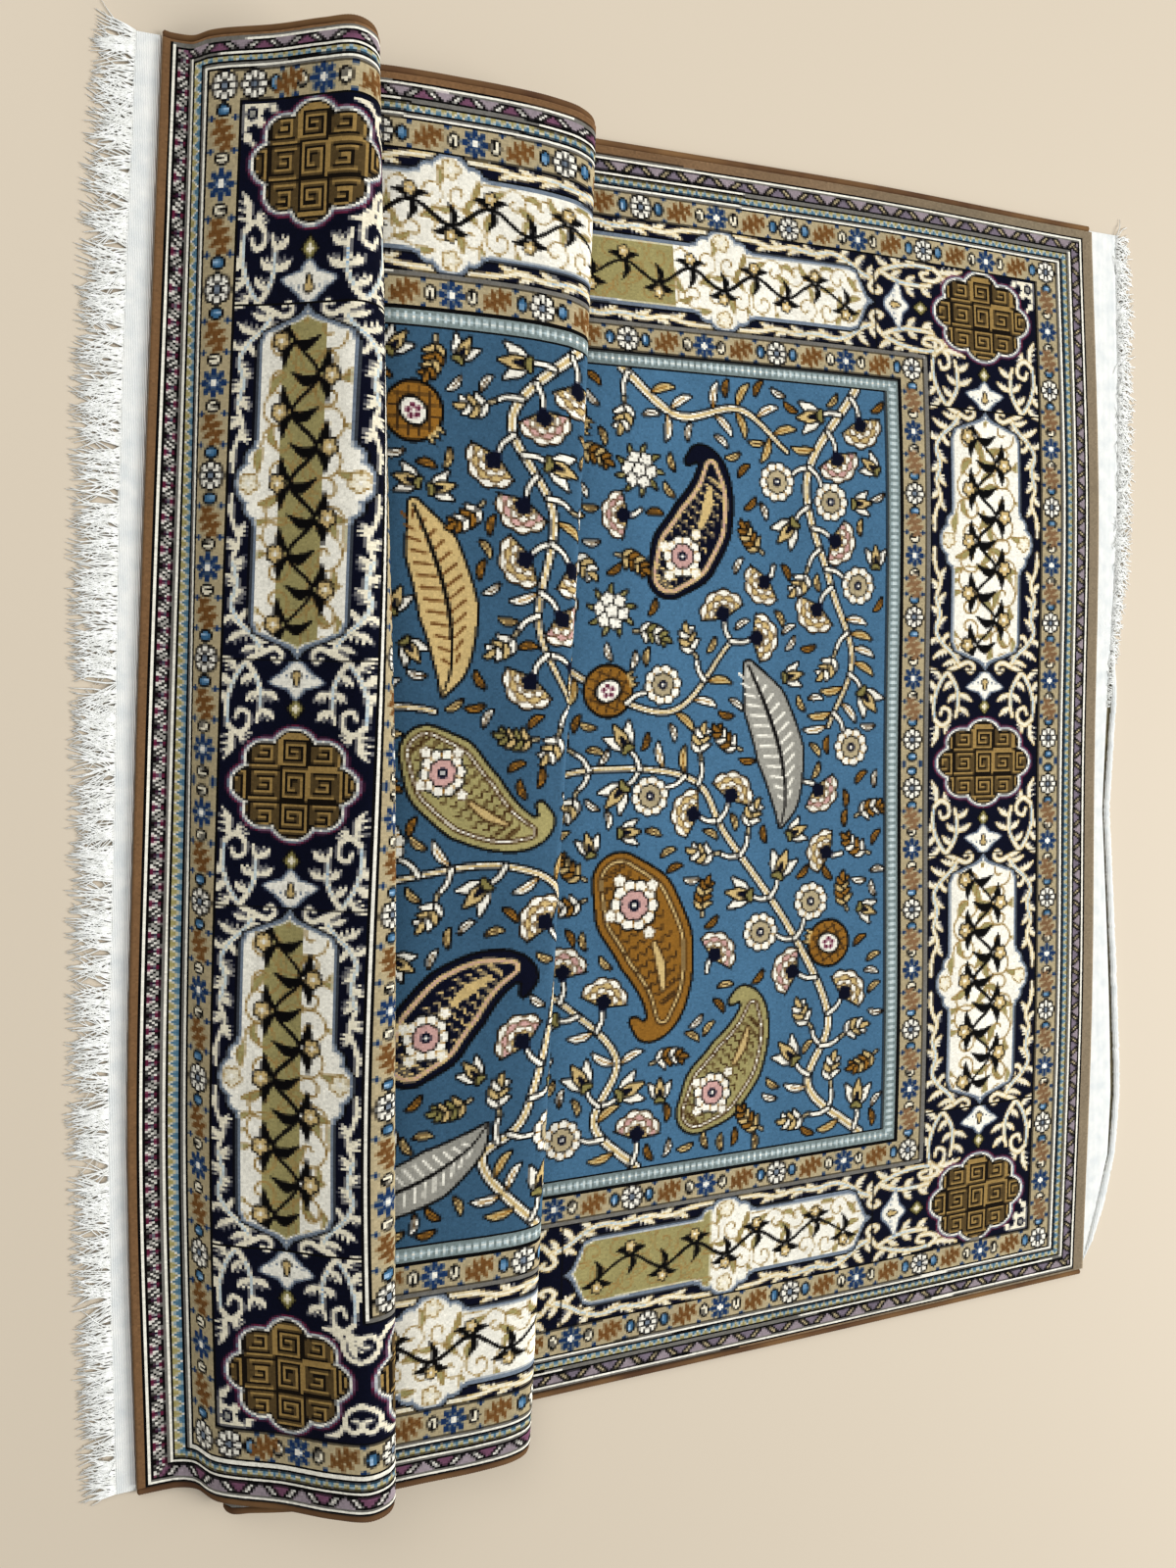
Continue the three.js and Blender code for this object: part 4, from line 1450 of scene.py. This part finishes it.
def mesh_object(name, points, faces):
    mesh = bpy.data.meshes.new(name)
    mesh.from_pydata(points.tolist(), [], faces)
    mesh.update()
    piece = bpy.data.objects.new(name, mesh)
    bpy.context.collection.objects.link(piece)
    bpy.ops.object.select_all(action="DESELECT")
    piece.select_set(True)
    bpy.context.view_layer.objects.active = piece
    bpy.ops.object.mode_set(mode="EDIT")
    bpy.ops.mesh.select_all(action="SELECT")
    bpy.ops.mesh.normals_make_consistent(inside=False)
    bpy.ops.object.mode_set(mode="OBJECT")
    bpy.ops.object.shade_smooth()
    return piece


def sheet_mesh(name, grid):
    """Grid primitive bent to the given points, with a flat UV map."""
    rows, columns = grid.shape[0] - 1, grid.shape[1] - 1
    bpy.ops.object.select_all(action="DESELECT")
    bpy.ops.mesh.primitive_grid_add(x_subdivisions=columns, y_subdivisions=rows, size=1)
    piece = bpy.context.object
    piece.name = name
    piece.data.name = name
    if len(piece.data.vertices) != grid.shape[0] * grid.shape[1]:
        raise RuntimeError("grid has %d points" % len(piece.data.vertices))
    piece.data.vertices.foreach_set("co", grid.reshape(-1))
    piece.data.uv_layers[0].name = "OFBake"
    bpy.ops.object.shade_smooth()
    piece.data.update()
    return piece


def paint(piece, colour):
    """Colour attribute from linear RGB values, one for each face."""
    values = np.ones((colour.size // 3, 4), np.float32)
    values[:, :3] = colour.reshape(-1, 3)
    layer = piece.data.attributes.new("wool", "FLOAT_COLOR", "FACE")
    layer.data.foreach_set("color", values.reshape(-1))


def node(tree, kind, links=(), **settings):
    """Add a node with its settings and links: (input, node, output)."""
    made = tree.nodes.new(kind)
    for key, value in settings.items():
        if key.startswith("in_"):
            made.inputs[key[3:].replace("_", " ")].default_value = value
        else:
            setattr(made, key, value)
    for target, source, output in links:
        tree.links.new(source.outputs[output], made.inputs[target])
    return made


def new_material(name):
    """Material with its node tree and main shader."""
    made = bpy.data.materials.new(name)
    made.use_nodes = True
    return made, made.node_tree, made.node_tree.nodes["Principled BSDF"]


def spread(tree, source, output, low, high, start=0.0):
    """A value from start to 1 brought to the range from low to high."""
    return node(tree, "ShaderNodeMapRange", [("Value", source, output)],
                in_From_Min=start, in_To_Min=low, in_To_Max=high)


def times(tree, first, first_output, second):
    """Product of a value and the result of a spread."""
    made = node(tree, "ShaderNodeMath", operation="MULTIPLY")
    tree.links.new(first.outputs[first_output], made.inputs[0])
    tree.links.new(second.outputs["Result"], made.inputs[1])
    return made


def raised(tree, shader, texture, strength, distance):
    """Let a texture stand off the surface by a distance in metres."""
    lumps = node(tree, "ShaderNodeBump", [("Height", texture, "Fac")],
                 in_Strength=strength, in_Distance=distance)
    tree.links.new(lumps.outputs["Normal"], shader.inputs["Normal"])


def wool_pile():
    """Clipped wool pile: matt, each knot its own shade, with a soft sheen along the nap and a painted sheen
    that brightens the colour where the pile turns away over a fold.
    """
    made, tree, shader = new_material("clipped wool pile")
    place = node(tree, "ShaderNodeTexCoord")
    knots = node(tree, "ShaderNodeAttribute", attribute_name="wool")
    # Tufts about 1.2 mm across
    tufts = node(tree, "ShaderNodeTexNoise", [("Vector", place, "Object")], in_Scale=800, in_Detail=2)
    # Nap brushed in tracks about 40 mm across
    tracks = node(tree, "ShaderNodeTexNoise", [("Vector", place, "Object")], in_Scale=24, in_Detail=3)
    # Painted sheen: the colour is brightened where the pile turns away over a fold, as light caught by the
    # sides of the fibres
    turning = node(tree, "ShaderNodeLayerWeight", in_Blend=0.5)
    tuft_shade = spread(tree, tufts, "Fac", 0.80, 1.20)
    track_shade = spread(tree, tracks, "Fac", 0.88, 1.12)
    painted_sheen = spread(tree, turning, "Facing", 1.0, 1.7, 0.35)
    woven = times(tree, tuft_shade, "Result", track_shade)
    shade = times(tree, woven, "Value", painted_sheen)
    colour = node(tree, "ShaderNodeVectorMath", [("Vector", knots, "Color"), ("Scale", shade, "Value")],
                  operation="SCALE")
    tree.links.new(colour.outputs["Vector"], shader.inputs["Base Color"])
    raised(tree, shader, tufts, 0.35, 0.0008)
    shader.inputs["Roughness"].default_value = 0.95
    shader.inputs["Specular IOR Level"].default_value = 0.06
    shader.inputs["Sheen Weight"].default_value = 0.03
    shader.inputs["Sheen Roughness"].default_value = 0.4
    return made


def two_tone(name, dark, light, scale, detail, rough):
    """Fibre material that wanders between two shades; also returns what more nodes can join."""
    made, tree, shader = new_material(name)
    place = node(tree, "ShaderNodeTexCoord")
    drift = node(tree, "ShaderNodeTexNoise", [("Vector", place, "Object")], in_Scale=scale, in_Detail=detail)
    ramp = node(tree, "ShaderNodeValToRGB", [("Fac", drift, "Fac")])
    ramp.color_ramp.elements[0].position = 0.3
    ramp.color_ramp.elements[1].position = 0.7
    ramp.color_ramp.elements[0].color = linear(dark) + (1,)
    ramp.color_ramp.elements[1].color = linear(light) + (1,)
    tree.links.new(ramp.outputs["Color"], shader.inputs["Base Color"])
    shader.inputs["Roughness"].default_value = rough
    shader.inputs["Specular IOR Level"].default_value = 0.15
    return made, tree, shader, place


def woven_back():
    """Knotted back: the design in short flat ribs, duller than the pile."""
    made, tree, shader = new_material("knotted back")
    place = node(tree, "ShaderNodeTexCoord")
    knots = node(tree, "ShaderNodeAttribute", attribute_name="wool")
    tree.links.new(knots.outputs["Color"], shader.inputs["Base Color"])
    # Ribs 2.5 mm apart
    ribs = node(tree, "ShaderNodeTexWave", [("Vector", place, "Object")], bands_direction="Y", in_Scale=125)
    raised(tree, shader, ribs, 0.4, 0.0006)
    shader.inputs["Roughness"].default_value = 0.95
    shader.inputs["Specular IOR Level"].default_value = 0.1
    return made


def overcast_wool():
    """Brown wool yarn wound round the side cords; two dye lots run into each other."""
    made, tree, shader, place = two_tone("overcast brown wool", "4e3423", "7a5a38", 14, 8, 0.95)
    fibres = node(tree, "ShaderNodeTexNoise", [("Vector", place, "Object")], in_Scale=1500, in_Detail=2)
    raised(tree, shader, fibres, 0.4, 0.0006)
    return made


def cotton_weave():
    """White cotton, woven plain: fine ribs along the end of the rug."""
    cotton = bpy.context.scene.rug_colours.cotton
    made, tree, shader, place = two_tone("plain cotton weave", "d6d9d7", cotton, 60, 4, 0.9)
    # Ribs 2 mm apart, drawn coarser than the usual 1.2 so that they show
    ribs = node(tree, "ShaderNodeTexWave", [("Vector", place, "Object")], bands_direction="Y", in_Scale=157,
                in_Distortion=1.5, in_Detail=1)
    raised(tree, shader, ribs, 0.5, 0.0008)
    return made


def shaded_cotton():
    """Cotton in the open crease under the rolled hem, darkened: painted shade of the crease, with some
    soiling.
    """
    return two_tone("soiled cotton with painted shade", "4a4230", "7d7356", 90, 3, 0.95)[0]


def fringe_cotton():
    """Loose cotton warps: off-white, greyer in the shade between locks."""
    return two_tone("loose cotton warp", "e2e2dc", "fbfbf8", 220, 3, 0.9)[0]


class RUG_OT_stage(bpy.types.Operator):
    """Set the pale floor, the soft light and the camera"""

    bl_idname = "rug.set_stage"
    bl_label = "Set stage"

    def execute(self, context):
        bpy.ops.object.select_all(action="DESELECT")
        bpy.ops.mesh.primitive_plane_add(size=12, location=(0, 0, -0.0005))
        floor = context.object
        floor.name = "studio_floor"
        # Smooth pale floor that keeps the cotton ends readable
        made, _, shader = new_material("pale floor")
        shader.inputs["Base Color"].default_value = linear(context.scene.rug_colours.floor) + (1,)
        shader.inputs["Roughness"].default_value = 0.7
        floor.data.materials.append(made)
        world = bpy.data.worlds.new("soft studio")
        world.use_nodes = True
        sky = world.node_tree.nodes["Background"]
        sky.inputs["Color"].default_value = (0.93, 0.97, 1.0, 1)
        sky.inputs["Strength"].default_value = 0.42
        context.scene.world = world
        for name, place, aim, size, power in LAMPS:
            lamp = bpy.data.lights.new(name, "AREA")
            lamp.size = size
            lamp.energy = power
            holder = bpy.data.objects.new(name, lamp)
            holder.location = place
            holder.rotation_euler = (Vector(aim) - Vector(place)).to_track_quat("-Z", "Y").to_euler()
            context.collection.objects.link(holder)
        # Colours are shown as dyed, without a film curve
        context.scene.view_settings.view_transform = "Standard"
        lens = bpy.data.cameras.new("camera")
        lens.sensor_width = 36
        lens.lens = 27
        camera = bpy.data.objects.new("camera", lens)
        roll = math.radians(CAMERA_ROLL)
        back = (Vector(CAMERA) - Vector(AIM)).normalized()
        right = Vector((-math.cos(roll), math.sin(roll), 0)).cross(back).normalized()
        turn = Matrix((right, back.cross(right), back)).transposed().to_4x4()
        camera.matrix_world = Matrix.Translation(CAMERA) @ turn
        context.collection.objects.link(camera)
        context.scene.camera = camera
        return {"FINISHED"}


STEPS = (RUG_OT_pile, RUG_OT_back, RUG_OT_selvedges, RUG_OT_ends, RUG_OT_fringes, RUG_OT_stage)


class RUG_PT_rug(bpy.types.Panel):
    """Sizes, colours and steps of the rug"""

    bl_idname = "RUG_PT_rug"
    bl_label = "Persian Rug"
    bl_space_type = "VIEW_3D"
    bl_region_type = "UI"
    bl_category = "Rug"

    def draw(self, context):
        for group in (context.scene.rug_sizes, context.scene.rug_colours):
            box = self.layout.box()
            for name in group.__annotations__:
                box.prop(group, name)
        for step in STEPS:
            self.layout.operator(step.bl_idname)


CLASSES = (RugSizes, RugColours) + STEPS + (RUG_PT_rug,)


def register():
    for item in CLASSES:
        bpy.utils.register_class(item)
    bpy.types.Scene.rug_sizes = bpy.props.PointerProperty(type=RugSizes)
    bpy.types.Scene.rug_colours = bpy.props.PointerProperty(type=RugColours)


def unregister():
    del bpy.types.Scene.rug_colours
    del bpy.types.Scene.rug_sizes
    for item in reversed(CLASSES):
        bpy.utils.unregister_class(item)


def main():
    register()
    bpy.ops.rug.weave_pile()
    bpy.ops.rug.weave_back()
    bpy.ops.rug.bind_selvedges()
    bpy.ops.rug.weave_ends()
    bpy.ops.rug.lay_fringes()
    bpy.ops.rug.set_stage()


if __name__ == "__main__":
    main()
